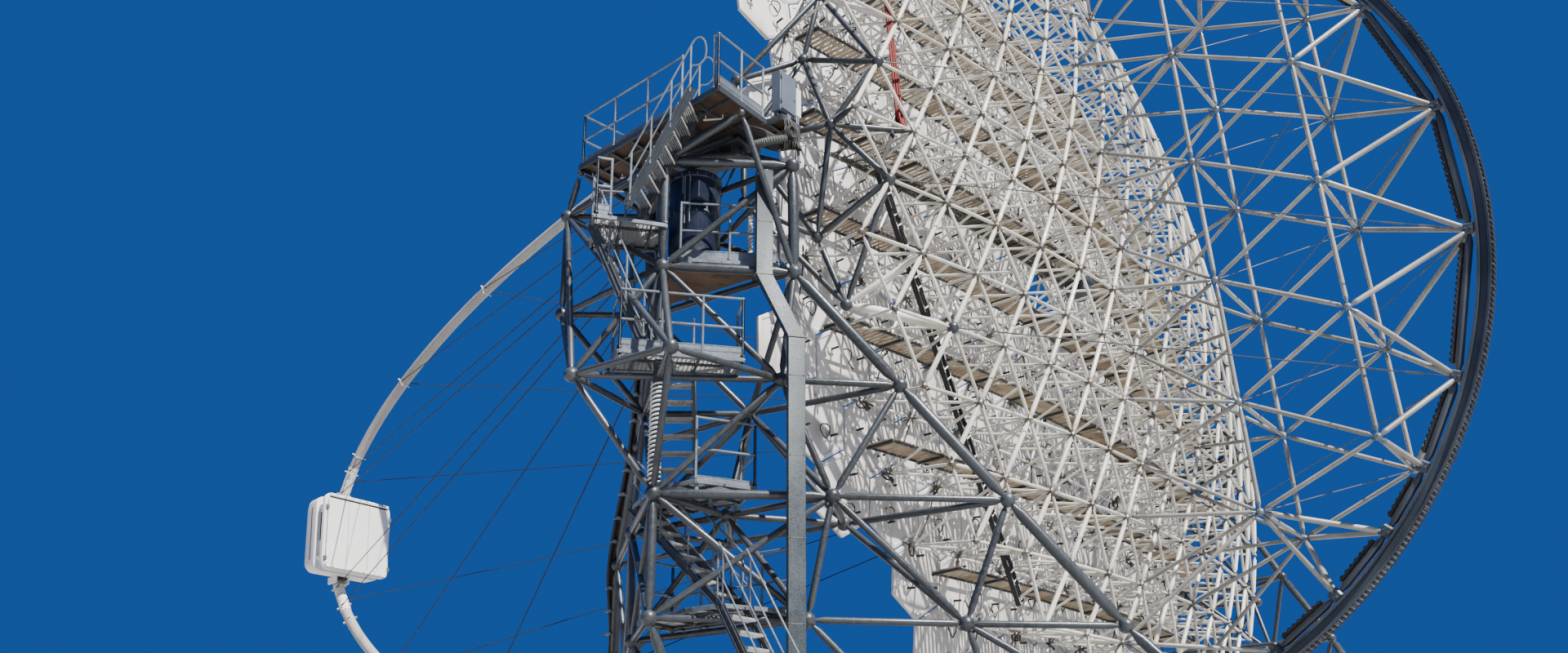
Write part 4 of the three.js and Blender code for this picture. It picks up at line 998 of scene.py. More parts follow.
def lattice():
    """The space frame between the mirrors and the wedge: two layers and the web between them."""
    chords, web, front, knots, ends = shapes(5)
    rear = grid(LATTICE_LIMIT)
    feet = {}

    def bar(shape, a, b, diameter):
        tube(shape, a, b, diameter, 8, 0.1, 0.11)
        bolts(ends, a, b, 0.13)
    for (row, half), (y, z) in rear.items():
        a = dish(*back_node(y, z))
        ball(knots, a, 0.125, 8, 5)
        for d_row, d_half in NEIGHBOURS:
            other = rear.get((row + d_row, half + d_half))
            if other:
                bar(chords, a, dish(*back_node(*other)), 0.1 if (d_row, d_half) == (1, 1) else 0.072)
        corners = [(y, z), rear.get((row, half + 2)), rear.get((row + 1, half + 1))]
        if all(corners):
            my, mz = np.mean(corners, axis=0)
            foot = feet[(row, half)] = dish(mirror_x(my, mz) + FOOT_DEPTH, my, mz)
            ball(knots, foot, 0.105, 8, 5)
            for corner in corners:
                bar(web, foot, dish(*back_node(*corner)), 0.057)
    for (row, half), foot in feet.items():
        for d_row, d_half in NEIGHBOURS:
            other = feet.get((row + d_row, half + d_half))
            if other is not None:
                bar(front, foot, other, 0.06)
    node_gear(feet.values())
    piece("lattice_back_layer", "dish", chords, CREAM, ["dish_lattice"])
    piece("lattice_web", "dish", web, CREAM)
    piece("lattice_front_layer", "dish", front, WHITE)
    piece("lattice_knots", "dish", knots, DARK)
    piece("lattice_bolts", "dish", ends, DARK)


BRACKET_SHARE, LOOP_SHARE, WIRE_SHARE = 0.6, 0.5, 0.45


def random_way():
    return unit([random.uniform(-1, 1) for _ in range(3)])


def node_gear(feet):
    """Small drives, brackets and loose cable ends at the nodes behind the mirrors."""
    gear, wires = shapes(2)
    for foot in feet:
        for _ in range(3):
            way = random_way()
            start = foot + way * 0.06
            tube(gear, start, start + way * random.uniform(0.12, 0.26), random.choice((0.03, 0.045, 0.06)), 6)
        if random.random() < BRACKET_SHARE:
            way = random_way()
            beam(gear, foot + way * 0.1, foot + way * 0.24, 0.09, 0.06, up=unit(np.cross(way, UP + SIDE)))
        if random.random() < LOOP_SHARE:
            u, v = across(random_way())
            size = random.uniform(0.07, 0.14)
            loop = [foot + (u * math.cos(t) + v * math.sin(t) - UP * 0.6) * size for t in turns(10)]
            sweep(wires, loop, circle(0.021, 5), loop=True)
        if random.random() < WIRE_SHARE:
            reach = [random.uniform(*limits) for limits in ((-0.1, 0.1), (-0.9, 0.9), (-1.3, -0.5))]
            other = foot + np.array(reach)
            middle = (foot + other) / 2 - UP * 0.12
            sweep(wires, smooth([foot, middle, other]), circle(0.014, 4))
    piece("node_gear", "dish", gear, DARK)
    piece("node_wires", "dish", wires, BLACK)


WALK_LEVELS = (-8.05, -5.85, -3.65, -1.45, 0.75, 2.95, 5.15, 7.35)
WALK_RADIUS = 10.3
WALK_BEHIND, WALK_DEPTH = 0.62, 0.62
SLAT_PITCH = 0.13
SLATS_TO_A_BAY = 12


def walkways():
    """Slatted service walks behind the mirrors, with their brackets."""
    slats, steel = shapes(2)
    for z in WALK_LEVELS:
        reach = math.sqrt(WALK_RADIUS ** 2 - z ** 2)
        ys = np.arange(-reach, reach, SLAT_PITCH)
        xs = [mirror_x(y, z) + WALK_BEHIND for y in ys]
        for i, (x, y) in enumerate(zip(xs, ys)):
            beam(slats, dish(x, y, z), dish(x + WALK_DEPTH, y, z), 0.075, 0.025, up=DISH_Z)
            following = i + SLATS_TO_A_BAY
            if i % SLATS_TO_A_BAY == 0 and following < len(ys):
                for offset in (0.04, 0.58):
                    a = dish(x + offset, y, z - 0.03)
                    b = dish(xs[following] + offset, ys[following], z - 0.03)
                    beam(steel, a, b, 0.03, 0.05, up=DISH_Z)
                beam(steel, dish(x, y, z - 0.05), dish(x + WALK_DEPTH, y, z - 0.05), 0.04, 0.05, up=DISH_Z)
    piece("walkway_slats", "dish", slats, SLAT)
    piece("walkway_bearers", "dish", steel, STEEL)


LADDER_TOP, LADDER_FOOT = np.array([2.3, -10.0, -1.0]), np.array([1.5, -4.6, -8.6])


def cable_ladder():
    """A slanting ladder with two cables behind the lower near mirrors."""
    rails, rungs = shapes(2)
    a, run = LADDER_TOP, LADDER_FOOT - LADDER_TOP
    side = unit(np.cross(run, (1.0, 0, 0))) * 0.1
    for edge in (-side, side):
        beam(rails, dish(*(a + edge)), dish(*(LADDER_FOOT + edge)), 0.05, 0.1, up=DISH_X)
    for k in range(2):
        path = [dish(*(a + run * s + side * (k - 0.5) + X_AXIS * 0.02 * math.sin(9 * s + k)))
                for s in np.linspace(0, 1, 30)]
        sweep(rails, path, circle(0.02, 6))
    for k, s in enumerate(np.linspace(0.01, 0.99, 44)):
        spot = a + run * s + X_AXIS * 0.055
        if k % 3:
            beam(rungs, dish(*(spot - side)), dish(*(spot + side)), 0.03, 0.012, up=DISH_X)
        mark = spot + side * (1 if k % 2 else -1)
        along = unit(run) * 0.07
        beam(rungs, dish(*(mark - along)), dish(*(mark + along)), 0.012, 0.01, up=DISH_X)
    piece("cable_ladder", "dish", rails, BLACK)
    piece("cable_ladder_rungs", "dish", rungs, WHITE)


HOSE_X, HOSE_Y = 2.5, -9.42


def red_hoses():
    """Three hoses down the dish's near edge, a bunch of their loops and the leads to the ladder."""
    hose, leads = shapes(2)
    for k in range(3):
        path = [dish(HOSE_X + 0.03 * k, HOSE_Y + 0.045 * k + 0.02 * math.sin(5 * s + k), 0.5 + 5.2 * s)
                for s in np.linspace(0, 1, 24)]
        sweep(hose, path, circle(0.026, 8))
    for k in range(5):
        size = 0.075 + 0.014 * k
        x, z = HOSE_X + 0.025 * k, 0.42 - 0.03 * k
        loop = [dish(x, -9.37 + size * math.cos(t), z + 1.7 * size * math.sin(t)) for t in turns(20)]
        sweep(hose, loop, circle(0.026, 6), loop=True)
    for k in range(3):
        shift = 0.04 * k
        spots = [(HOSE_X, -9.44 + 0.05 * k, 0.36), (2.44, -9.72 + shift, -0.3), (2.32, -10.04 + shift, -1.02)]
        sweep(leads, smooth(on_dish(spots), 6), circle(0.024, 6))
    piece("red_hoses", "dish", hose, RED)
    piece("hose_leads", "dish", leads, BLACK)


TRAY_Z = 0.35
TRAY_HALF = 0.21


def middle_tray():
    """A ladder tray full of cables, level behind the mirrors, and the box that it leads to."""
    rails, cables, box = shapes(3)
    ys = np.linspace(-9.2, 0.1, 32)

    def spot(y, out, rise):
        return dish(mirror_x(y, TRAY_Z) + 0.86 + out, y, TRAY_Z + rise)
    for a, b in zip(ys, ys[1:]):
        for out in (-TRAY_HALF, TRAY_HALF):
            beam(rails, spot(a, out, 0), spot(b, out, 0), 0.03, 0.09, up=DISH_Z)
        beam(rails, spot(a, -TRAY_HALF, -0.02), spot(a, TRAY_HALF, -0.02), 0.04, 0.02, up=DISH_Z)
    for k in range(8):
        start = int(random.uniform(0, 5))
        lift = 0.025 + 0.02 * (k % 2)
        path = [spot(y, -0.16 + 0.045 * k + random.uniform(-0.012, 0.012), lift) for y in ys[start:]]
        sweep(cables, path, circle(0.026, 6))
    block(box, (1.55, 0.1, 0.1), (2.1, 0.75, 0.62), 0.03, dish)
    piece("tray_rails", "dish", rails, DARK)
    piece("tray_cables", "dish", cables, HOSE)
    piece("tray_box", "dish", box, SLATE)


TRUNNION_Y = -11.2
SHAFT_END = -12.34


def side_frame():
    """The near frame between the dish and its trunnion: bars, shaft and painted tubes."""
    steel, shaft, painted = made = shapes(3)
    trunnion, back = (0.0, TRUNNION_Y, 0.0), (1.65, -10.56, 0.0)
    members = [(trunnion, back), (back, back_node(-10.78, 0.0)), (back, back_node(-9.24, 0.0))]
    nodes = [back]
    for s in (-1, 1):
        apex, front, outer = (0.0, -11.3, 1.4 * s), (0.9, -10.2, 2.05 * s), (1.3, -10.0, 3.57 * s)
        anchor = back_node(-10.01, ROW * s)
        upper = back_node(-9.24, 2 * ROW * s)
        corner = back_node(-8.47, 3 * ROW * s)
        nodes += [apex, front, outer, anchor, corner]
        tube(painted, dish(*outer), dish(*corner), 0.2, 14, 0.22, 0.12)
        members += [(trunnion, apex), (trunnion, front), (front, apex), (front, outer), (front, back),
                    (front, anchor), (outer, anchor), (back, anchor), (apex, outer)]
        tube(painted, dish(*outer), dish(*upper), 0.12, 12, 0.16, 0.1)
    for a, b in members:
        tube(steel, dish(*a), dish(*b), 0.12, 12, 0.16, 0.09)
        bolts(steel, dish(*a), dish(*b), 0.16, 0.06)
    for node in nodes:
        ball(steel, dish(*node), 0.24, 14, 9)
    for low, high, width in ((SHAFT_END, -10.95, 0.59), (-12.36, -12.3, 0.5)):
        tube(shaft, dish(0, low, 0), dish(0, high, 0), width, 36)
    for y, width in ((-11.36, 0.92), (-11.12, 0.84)):
        collar(shaft, dish(0, y, 0), SIDE, 0.03, width, 36)
        bolt_circle(shaft, dish(0, y, 0), SIDE, 0.38, 16, 0.04)
    for k in range(8):
        t = math.pi / 4 * k
        x, z = 0.32 * math.cos(t), 0.32 * math.sin(t)
        out = DISH_X * math.cos(t) + DISH_Z * math.sin(t)
        beam(shaft, dish(x, -11.36, z), dish(x, -11.12, z), 0.02, 0.16, up=out)
    bolt_circle(shaft, dish(0, -12.345, 0), SIDE, 0.19, 8, 0.04)
    return made


# Rear arch and the truss that joins it to the dish

ARCH_RADIUS = 11.05
CHORD_RADIUS = 10.95
CHAIN_RADIUS = 11.385
ARCH_ANGLES = [8.1, 25.3, 35.9, 44, 52.9, 62, 71.5, 81, 90]
LINK_STEP = 0.62
STRIP_PITCH = 0.14


def arch_ways(degrees):
    """The directions outward and onward along the rear arch."""
    t = math.radians(degrees)
    return DISH_X * math.cos(t) + DISH_Z * math.sin(t), DISH_X * -math.sin(t) + DISH_Z * math.cos(t)


def on_arch(degrees, radius=CHORD_RADIUS):
    t = math.radians(degrees)
    return np.array([radius * math.cos(t), 0.0, radius * math.sin(t)])


def arch_rail(rail, chain, studs):
    """The rail's rolled section, and the chain with its pins along the outer edge."""
    half = [(0.14, 11.29), (0.15, 11.31), (0.15, 11.35), (0.13, 11.36)]
    flange = [(-0.05, 11.27), (-0.05, 11.14), (-0.13, 11.12), (-0.13, 11.07)]
    web = half + [(-y, r) for y, r in reversed(half)] + flange + [(-y, r) for y, r in reversed(flange)]
    rings = []
    for angle in np.linspace(-90, 90, 150):
        t = math.radians(angle)
        rings.append(np.array([dish(r * math.cos(t), y, r * math.sin(t)) for y, r in web[::-1]]))
    loft(rail, rings)
    for k, angle in enumerate(np.arange(-89.6, 89.7, LINK_STEP)):
        low, high = dish(*on_arch(angle - 0.17, CHAIN_RADIUS)), dish(*on_arch(angle + 0.17, CHAIN_RADIUS))
        for y in (-0.113, -0.038, 0.037, 0.112):
            beam(chain, low + SIDE * y, high + SIDE * y, 0.03, 0.05, up=SIDE)
        middle = dish(*on_arch(angle, 11.38))
        tube(studs if k % 4 == 0 else chain, middle - SIDE * 0.145, middle + SIDE * 0.145, 0.04, 6)


def arch_node(rail, studs, node, angle):
    """The clamp that holds the rail on the chord at one node, with its bolts."""
    out, along = arch_ways(angle)
    beam(rail, node - out * 0.13, node + out * 0.08, 0.26, 0.26, 0.04, up=SIDE)
    beam(rail, node + out * 0.07, node + out * 0.13, 0.17, 0.2, 0.01, up=SIDE)
    for sign in (-1, 1):
        a, b = [node + out * 0.1 + along * (sign * 0.1 + edge) for edge in (-0.015, 0.015)]
        beam(rail, a, b, 0.1, 0.24, 0.0, up=SIDE)
    for y in (-0.133, 0.133):
        for k in (-0.07, 0.04):
            nut(studs, node + SIDE * y + out * k, SIDE, 0.04, 0.012)


def arch_chord(rail, strip, studs, a, b):
    """A stretch of the inner chord with the toothed strip on its inside."""
    tube(rail, a, b, 0.18, 16, 0.2, 0.1)
    inward = -unit((a + b) / 2 - DISH_ORIGIN)
    run = unit(b - a)
    first, last = a + run * 0.3 + inward * 0.125, b - run * 0.3 + inward * 0.125
    beam(strip, first, last, 0.12, 0.06, up=inward)
    count = int(np.linalg.norm(last - first) / STRIP_PITCH)
    for k in range(count):
        spot = first + (last - first) * (k + 0.5) / count
        if k % 2:
            nut(studs, spot - SIDE * 0.062 + inward * 0.012, SIDE, 0.024, 0.006)
        beam(strip, spot + inward * 0.03, spot + inward * 0.06, 0.07, 0.1, up=SIDE)


def rear_arch():
    rail, chain, strip, studs = shapes(4)
    arch_rail(rail, chain, studs)
    angles = [-a for a in reversed(ARCH_ANGLES)] + ARCH_ANGLES
    nodes = on_dish(on_arch(angle) for angle in angles)
    for i, (node, angle) in enumerate(zip(nodes, angles)):
        arch_node(rail, studs, node, angle)
        if i:
            arch_chord(rail, strip, studs, nodes[i - 1], node)
    piece("rear_arch_rail", "dish", rail, SLATE, ["rear_arch"])
    piece("rear_arch_chain", "dish", chain, BLACK)
    piece("rear_arch_strip", "dish", strip, BLACK)
    piece("rear_arch_studs", "dish", studs, BRIGHT)


WEDGE_Y = 1.54
INNER_X, OUTER_X = 5.8, 8.4
INNER_Z, OUTER_Z = [-7, -4.5, -1.54, 1.54, 4.5, 7], [-6, -3.08, 0, 3.08, 6]
ANCHORS = (
    # for each inner node, the places on the lattice that it is tied to
    ((0.8, 0), (2.3, 1.4), (0.8, 2.7)),
    ((0.8, 2.7), (2.3, 4.0), (0.8, 5.3)),
    ((0.8, 5.3), (2.3, 6.7), (0.8, 8.0), (2.3, 9.3)),
)


def wedge():
    """The truss of pale tubes that ties the rear arch to the dish."""
    made, cones, knots, wires = shapes(4)
    back_nodes = [back_node(*place) for place in grid(LATTICE_LIMIT).values()]

    def nearest(y, z):
        return min(back_nodes, key=lambda p: (p[1] - y) ** 2 + (p[2] - z) ** 2)

    def link(a, b, diameter=0.1):
        a, b = dish(*a), dish(*b)
        tube(made, a, b, diameter, 12, 0.0, 0.2)
        end_cones(cones, a, b, diameter, 0.2)
    for side in (-1, 1):
        b = [(INNER_X, WEDGE_Y * side, z) for z in INNER_Z]
        c = [(OUTER_X, WEDGE_Y * side, z) for z in OUTER_Z]
        for point in b + c:
            ball(knots, dish(*point), 0.17, 12, 8)
        for i in range(5):
            link(b[i], b[i + 1])
            link(b[i], c[i])
            link(c[i], b[i + 1])
            if i:
                link(c[i - 1], c[i])
        for s in (-1, 1):
            link(c[2], on_arch(8.1 * s), 0.12)
            b0, b1, b2 = b[3:] if s > 0 else b[2::-1]
            c1, c2 = c[3:] if s > 0 else c[1::-1]
            for start, angle in ((c1, 8.1), (c1, 25.3), (c2, 25.3), (c2, 35.9), (b2, 44), (b2, 52.9)):
                link(start, on_arch(angle * s), 0.12)
            for angle in (62, 71.5, 90):
                link(on_arch(angle * s), nearest(1.6 * side, 9.6 * s))
            for start, targets in zip((b0, b1, b2), ANCHORS):
                for y, z in targets:
                    link(start, nearest(y * side, z * s), 0.09)
    for x, levels in ((INNER_X, INNER_Z), (OUTER_X, OUTER_Z)):
        for z in levels:
            link((x, -WEDGE_Y, z), (x, WEDGE_Y, z))
    for za, zb in zip(INNER_Z, OUTER_Z):
        tube(wires, dish(INNER_X, -WEDGE_Y, za), dish(OUTER_X, WEDGE_Y, zb), 0.022, 6)
    for centre in [points.mean(axis=0) for points in knots.points]:
        for axis in (DISH_X, -DISH_X, DISH_Z):
            nut(knots, centre + axis * 0.08, axis, 0.05, 0.02)
    piece("wedge_tubes", "dish", made, PALE, ["wedge_truss"])
    piece("wedge_cones", "dish", cones, BRIGHT)
    piece("wedge_knots", "dish", knots, BRIGHT)
    piece("wedge_wires", "dish", wires, DARK)


def rear_stays():
    made = Shape()
    for side in (-1, 1):
        for y, row, angle in ((8.47, 3, 25.3), (10.01, 1, 8.1), (10.01, -1, -8.1), (8.47, -3, -25.3)):
            a, b = dish(*back_node(y * side, row * ROW)), dish(*on_arch(angle))
            tube(made, a, b, 0.028, 6)
            along = unit(b - a)
            tube(made, b - along * 1.3, b - along * 0.8, 0.05, 8, 0.06)
            tube(made, b - along * 2.2, b - along * 1.6, 0.04, 8, 0.06)
    piece("rear_stays", "dish", made, STEEL)


# Front arch, its stays and the camera box

REACH = 28.6
TUBE_RADIUS = 0.178
FLANGE_WIDTH = 0.372
HALVES = {1: "upper", -1: "lower"}


def on_front(degrees, sign):
    t = math.radians(degrees)
    return np.array([-REACH * math.cos(t), 0.0, sign * ARCH_RADIUS * math.sin(t)])


def front_arch(sign):
    """One half of the ellipse-shaped tube, with its flanges, lugs and the thick end at the camera."""
    made, joints, lugs = shapes(3)
    start = math.degrees(math.asin(1.3 / ARCH_RADIUS))
    path = on_dish(on_front(angle, sign) for angle in np.linspace(start, 89.4, 280))
    sweep(made, path, circle(TUBE_RADIUS, 24), side=SIDE)

    def spot_at(angle):
        spot, ahead = dish(*on_front(angle, sign)), dish(*on_front(angle + 0.4, sign))
        return spot, unit(ahead - spot)
    for angle in (9.5, 13.5, 16.6, 29.5, 44.5, 60, 75):
        spot, along = spot_at(angle)
        collar(joints, spot, along, 0.012, FLANGE_WIDTH, 24)
        if angle > 50:
            continue
        u = unit(np.cross(SIDE, along))
        for turn in (0.8, 2.4, 3.9, 5.4):
            way = SIDE * math.cos(turn) + u * math.sin(turn)
            beam(joints, spot + way * 0.17, spot + way * 0.26, 0.09, 0.03, 0.005, up=along)
            nut(lugs, spot + way * 0.225, np.cross(way, along), 0.05, 0.03)
    foot, top = spot_at(9.0)[0], spot_at(14.5)[0]
    tube(joints, foot, top, 0.378, 24)
    for share in (0.15, 0.4, 0.65, 0.9):
        bolt_circle(lugs, foot + (top - foot) * share, unit(top - foot), 0.19, 10, 0.022)
    spot = spot_at(18.2)[0]
    block(lugs, spot - (0.3, 0.06, 0.05), spot - (0.19, -0.06, -0.08), 0.01)
    name = f"front_arch_{HALVES[sign]}"
    piece(f"{name}_tube", "dish", made, PAINT, [name])
    piece(f"{name}_joints", "dish", joints, WHITE)
    piece(f"{name}_lugs", "dish", lugs, DARK)


STAYS = (
    # the side, the place on the arch in degrees, the height of the end at the dish
    (-1, 9.5, -0.12), (-1, 13.5, 0.12), (1, 12.0, 0.0), (-1, 29.5, 0.2), (1, 29.5, 0.2), (-1, 44.5, 0.3),
    (1, 44.5, 0.3),
)


def front_stays(sign):
    """Taut ropes from the arch's flanges to the dish's sides, with a socket at each end."""
    made = Shape()
    for y, angle, lift in STAYS:
        x, _, z = on_front(angle, sign)
        a, b = dish(x + 0.12, 0.2 * y, z), dish(0.0, 11.3 * y, lift * sign)
        tube(made, a, b, 0.032, 6)
        along = unit(b - a)
        tube(made, a, a + along * 0.4, 0.045, 8, 0.08)
        tube(made, b - along * 0.7, b, 0.055, 8, 0.08)
    name = HALVES[sign]
    piece(f"front_stay_ropes_{name}", "dish", made, BLACK, [f"front_stays_{name}"])


SHELL_FRONT, SHELL_BACK = -28.6, -27.25
CORNER_RADIUS, CORNER_STEPS = 0.3, 6


def rounded_square(half):
    points = []
    middle = half - CORNER_RADIUS
    for quarter, (sy, sz) in enumerate(((1, 1), (-1, 1), (-1, -1), (1, -1))):
        for k in range(CORNER_STEPS + 1):
            t = math.pi / 2 * (quarter + k / CORNER_STEPS)
            y, z = CORNER_RADIUS * math.cos(t), CORNER_RADIUS * math.sin(t)
            points.append((sy * middle + y, sz * middle + z))
    return points


def camera_box():
    shell, gaps, metal = shapes(3)

    def skin(shape, stations):
        loft(shape, [np.array([dish(x, y, z) for y, z in rounded_square(half)]) for x, half in stations])
    skin(shell, [(SHELL_FRONT, 1.15), (-28.52, 1.3), (-28.36, 1.38), (-28.3, 1.4),
                 (-27.82, 1.42), (-27.79, 1.4)])
    skin(shell, [(-27.8, 1.25), (-27.44, 1.25)])
    skin(gaps, [(-27.46, 1.3), (-27.43, 1.3)])
    skin(shell, [(-27.44, 1.4), (-27.41, 1.44), (-27.3, 1.44), (SHELL_BACK, 1.4)])
    skin(gaps, [(-27.26, 1.34), (-27.225, 1.34)])
    for first, last in ((-1.33, -0.455), (-0.44, 0.44), (0.455, 1.33)):
        block(shell, (SHELL_BACK, first, -1.3), (-27.2, last, 1.22), 0.012, dish)
    for sign in (-1, 1):
        block(shell, (SHELL_BACK, -1.3, sign * 1.34 - 0.06), (-27.185, 1.3, sign * 1.34 + 0.05), 0.03, dish)
        for y in (-0.3, 0.22):
            block(shell, (-28.5, y, sign * 1.52 - 0.14), (-28.0, y + 0.08, sign * 1.52 + 0.12), 0.02, dish)
            block(shell, (-28.615, y, -0.4), (-28.55, y + 0.08, 0.4), 0.02, dish)
        block(gaps, (-28.3, -0.21, sign * 1.45 - 0.05), (-28.02, 0.21, sign * 1.45 + 0.05), 0.01, dish)
        for y in (-1.0, -0.3, 0.3, 1.0):
            tube(metal, dish(-27.235, y, sign * 1.36), dish(-27.175, y, sign * 1.36), 0.05)
    for sign in (-1, 1):
        y = 1.25 * sign
        block(gaps, (-27.74, y - 0.02, -0.3), (-27.66, y + 0.02, 0.78), 0.006, dish)
        block(gaps, (-28.05, 1.43 * sign - 0.02, -1.0), (-28.03, 1.43 * sign + 0.005, 1.0), 0.002, dish)
        for z in (-0.95, 0.98):
            block(shell, (-27.81, y - 0.09, z - 0.07), (-27.42, y + 0.09, z + 0.07), 0.02, dish)
            edge = sign * 1.36
            block(metal, (-27.27, edge - 0.05, z - 0.2), (-27.19, edge + 0.07, z - 0.04), 0.01, dish)
    for z in np.arange(-0.5, 0.55, 0.12):
        block(gaps, (-28.607, -0.55, z), (-28.59, 0.55, z + 0.05), 0.004, dish)
    piece("camera_shell", "dish", shell, SHELL, ["camera_housing", "camera_shutter"])
    piece("camera_seams", "dish", gaps, BLACK)
    piece("camera_brackets", "dish", metal, BRIGHT)


# Drives, duct and cabinet

DRUM_X, DRUM_Y = -0.05, -12.55


def drive_housing():
    drum, trim = shapes(2)
    x, y = DRUM_X, DRUM_Y
    stations = [(0.49, 11.76), (0.49, 11.84), (0.475, 11.86), (0.475, 12.7), (0.485, 12.72), (0.485, 12.78),
                (0.475, 12.8), (0.475, 13.45), (0.49, 13.47), (0.49, 13.56), (0.44, 13.6), (0.2, 13.61)]
    turned(drum, stations, 40, (x, y))
    block(drum, (x + 0.3, y - 0.5, 12.9), (x + 0.52, y - 0.2, 13.25), 0.02)
    for level in (11.8, 12.75, 13.5):
        bolt_circle(trim, (x, y, level), UP, 0.487, 20, 0.02)
    pipes = ((0.1, -0.46, 13.1, 13.5), (0.14, -0.45, 12.5, 13.45), (0.26, -0.45, 12.5, 13.45))
    for dx, dy, low, high in pipes:
        tube(trim, (x + dx, y + dy, low), (x + dx, y + dy, high), 0.03)
    piece("drive_drum", "undercarriage", drum, NAVY, ["drive_housing"])
    piece("drive_drum_trim", "undercarriage", trim, GREY)


def cabinet():
    """The cabinet at the top platform's corner, with its side box and pipes."""
    box, side_box, pipes = shapes(3)
    block(box, (1.385, -12.115, 14.75), (1.6, -11.645, 15.59), 0.012)
    block(box, (1.6, -12.09, 14.78), (1.625, -11.67, 15.56), 0.01)
    for z in (14.9, 15.42):
        block(box, (1.6, -12.115, z), (1.635, -12.09, z + 0.08), 0.004)
    tube(box, (1.62, -11.72, 15.1), (1.638, -11.72, 15.1), 0.05, 10)
    block(box, (1.42, -12.08, 14.61), (1.46, -11.68, 14.76), 0.006)
    block(side_box, (1.5, -11.64, 14.82), (1.63, -11.5, 15.42), 0.01)
    for y in (-11.57, -11.62):
        tube(pipes, (1.64, y, 13.7), (1.6, y, 14.9), 0.03)
    for z in (14.2, 14.55):
        block(pipes, (1.64, -12.0, z), (1.69, -11.9, z + 0.12), 0.008)
    piece("cabinet_side_box", "undercarriage", side_box, WHITE)
    piece("cabinet_pipes", "undercarriage", pipes, BRIGHT)
    piece("cabinet_box", "undercarriage", box, GREY, ["control_cabinet"])


CABINET_CABLES = 26
HOSE_STOPS = [(1.22, -12.42, 13.97), (1.34, -12.36, 14.0), (1.5, -12.25, 14.05), (1.66, -12.02, 14.14)]


def cabinet_cables():
    """The bundle that hangs from the cabinet to the tower's head, with a few loops and a ribbed hose."""
    cables, hose = shapes(2)
    for k in range(CABINET_CABLES):
        y = -12.1 + 0.018 * k
        x = 1.5 + 0.06 * math.sin(3 * k)
        sag = random.uniform(-0.04, 0.04)
        path = [(x, y, 14.76), (x + 0.03, y, 14.64), (1.67 + 0.02 * (k % 3), y - 0.01, 14.52),
                (1.7 + sag, y + 0.5 * sag, 14.3), (1.68 - sag, y - sag, 14.08),
                (1.62, y + 0.04, 13.9 + 0.01 * k), (1.45, -12.15 - 0.01 * k, 13.92 + 0.012 * k),
                (1.1, -12.3 - 0.012 * k, 14.1 + 0.01 * k)]
        sweep(cables, smooth(path, 3), circle(0.012 + 0.004 * (k % 3), 6))
    for k in range(4):
        x, y = 1.7 + 0.02 * k, -12.02 + 0.02 * k
        ring = [(x, y + 0.1 * math.cos(t), 14.28 + 0.11 * math.sin(t)) for t in turns(18)]
        sweep(cables, ring, circle(0.012, 6), loop=True)
    path = np.array(smooth(HOSE_STOPS, 11))
    rings, u = [], UP
    for k, (point, tangent) in enumerate(zip(path, np.gradient(path, axis=0))):
        u = unit(u - unit(tangent) * (u @ unit(tangent)))
        rings.append(placed(circle(0.09 if k % 2 else 0.077, 14), point, u, np.cross(unit(tangent), u)))
    loft(hose, rings)
    piece("cabinet_hose", "undercarriage", hose, HOSE)
    piece("cabinet_cables", "undercarriage", cables, BLACK)


DUCT_ROUTE = [(1.42, -12.35, 13.4), (1.42, -12.35, 11.35), (2.05, -12.25, 10.05), (2.05, -12.25, 1.6)]
DUCT_SIZE = np.array([0.15, 0.3])
DUCT_CHAMFER = 0.008
SEAM_PITCH = 1.3


def duct():
    sheet, bands, seams = shapes(3)
    facing = unit((0.75, -0.65, 0))
    side = np.cross(UP, facing)

    def ring(spot, proud=0.0):
        return placed(rectangle(*(DUCT_SIZE + proud), DUCT_CHAMFER), spot, facing, side)
    route = [np.array(stop) for stop in DUCT_ROUTE]
    loft(sheet, [ring(stop) for stop in reversed(route)])
    for a, b in zip(route, route[1:]):
        along = unit(b - a)
        count = max(1, int(np.linalg.norm(b - a) / SEAM_PITCH))
        for k in range(count):
            spot = a + (b - a) * (k + 0.5) / count
            loft(seams, [ring(spot + along * h, 0.006) for h in (0.006, -0.006)])
            for h in (-0.13, 0.13):
                nut(bands, spot + facing * 0.077 + side * h * 0.9, facing, 0.02, 0.006)
    for stop in route[1:3]:
        loft(seams, [ring(stop + UP * h, 0.022) for h in (-0.008, 0.008)])
    for (x, y, _), end in ((DUCT_ROUTE[0], (1.31, -12.23, 11.51)), (DUCT_ROUTE[3], (1.81, -11.966, 7.35)),
                           (DUCT_ROUTE[3], (1.784, -11.945, 5.26))):
        beam(bands, (x, y, end[2]), end, 0.06, 0.08, 0.006)
    piece("duct_sheet", "undercarriage", sheet, DUCT, ["cable_duct"])
    piece("duct_seams", "undercarriage", seams, DARK)
    piece("duct_bands", "undercarriage", bands, STEEL)


ROLLER_ORBIT = 11.73


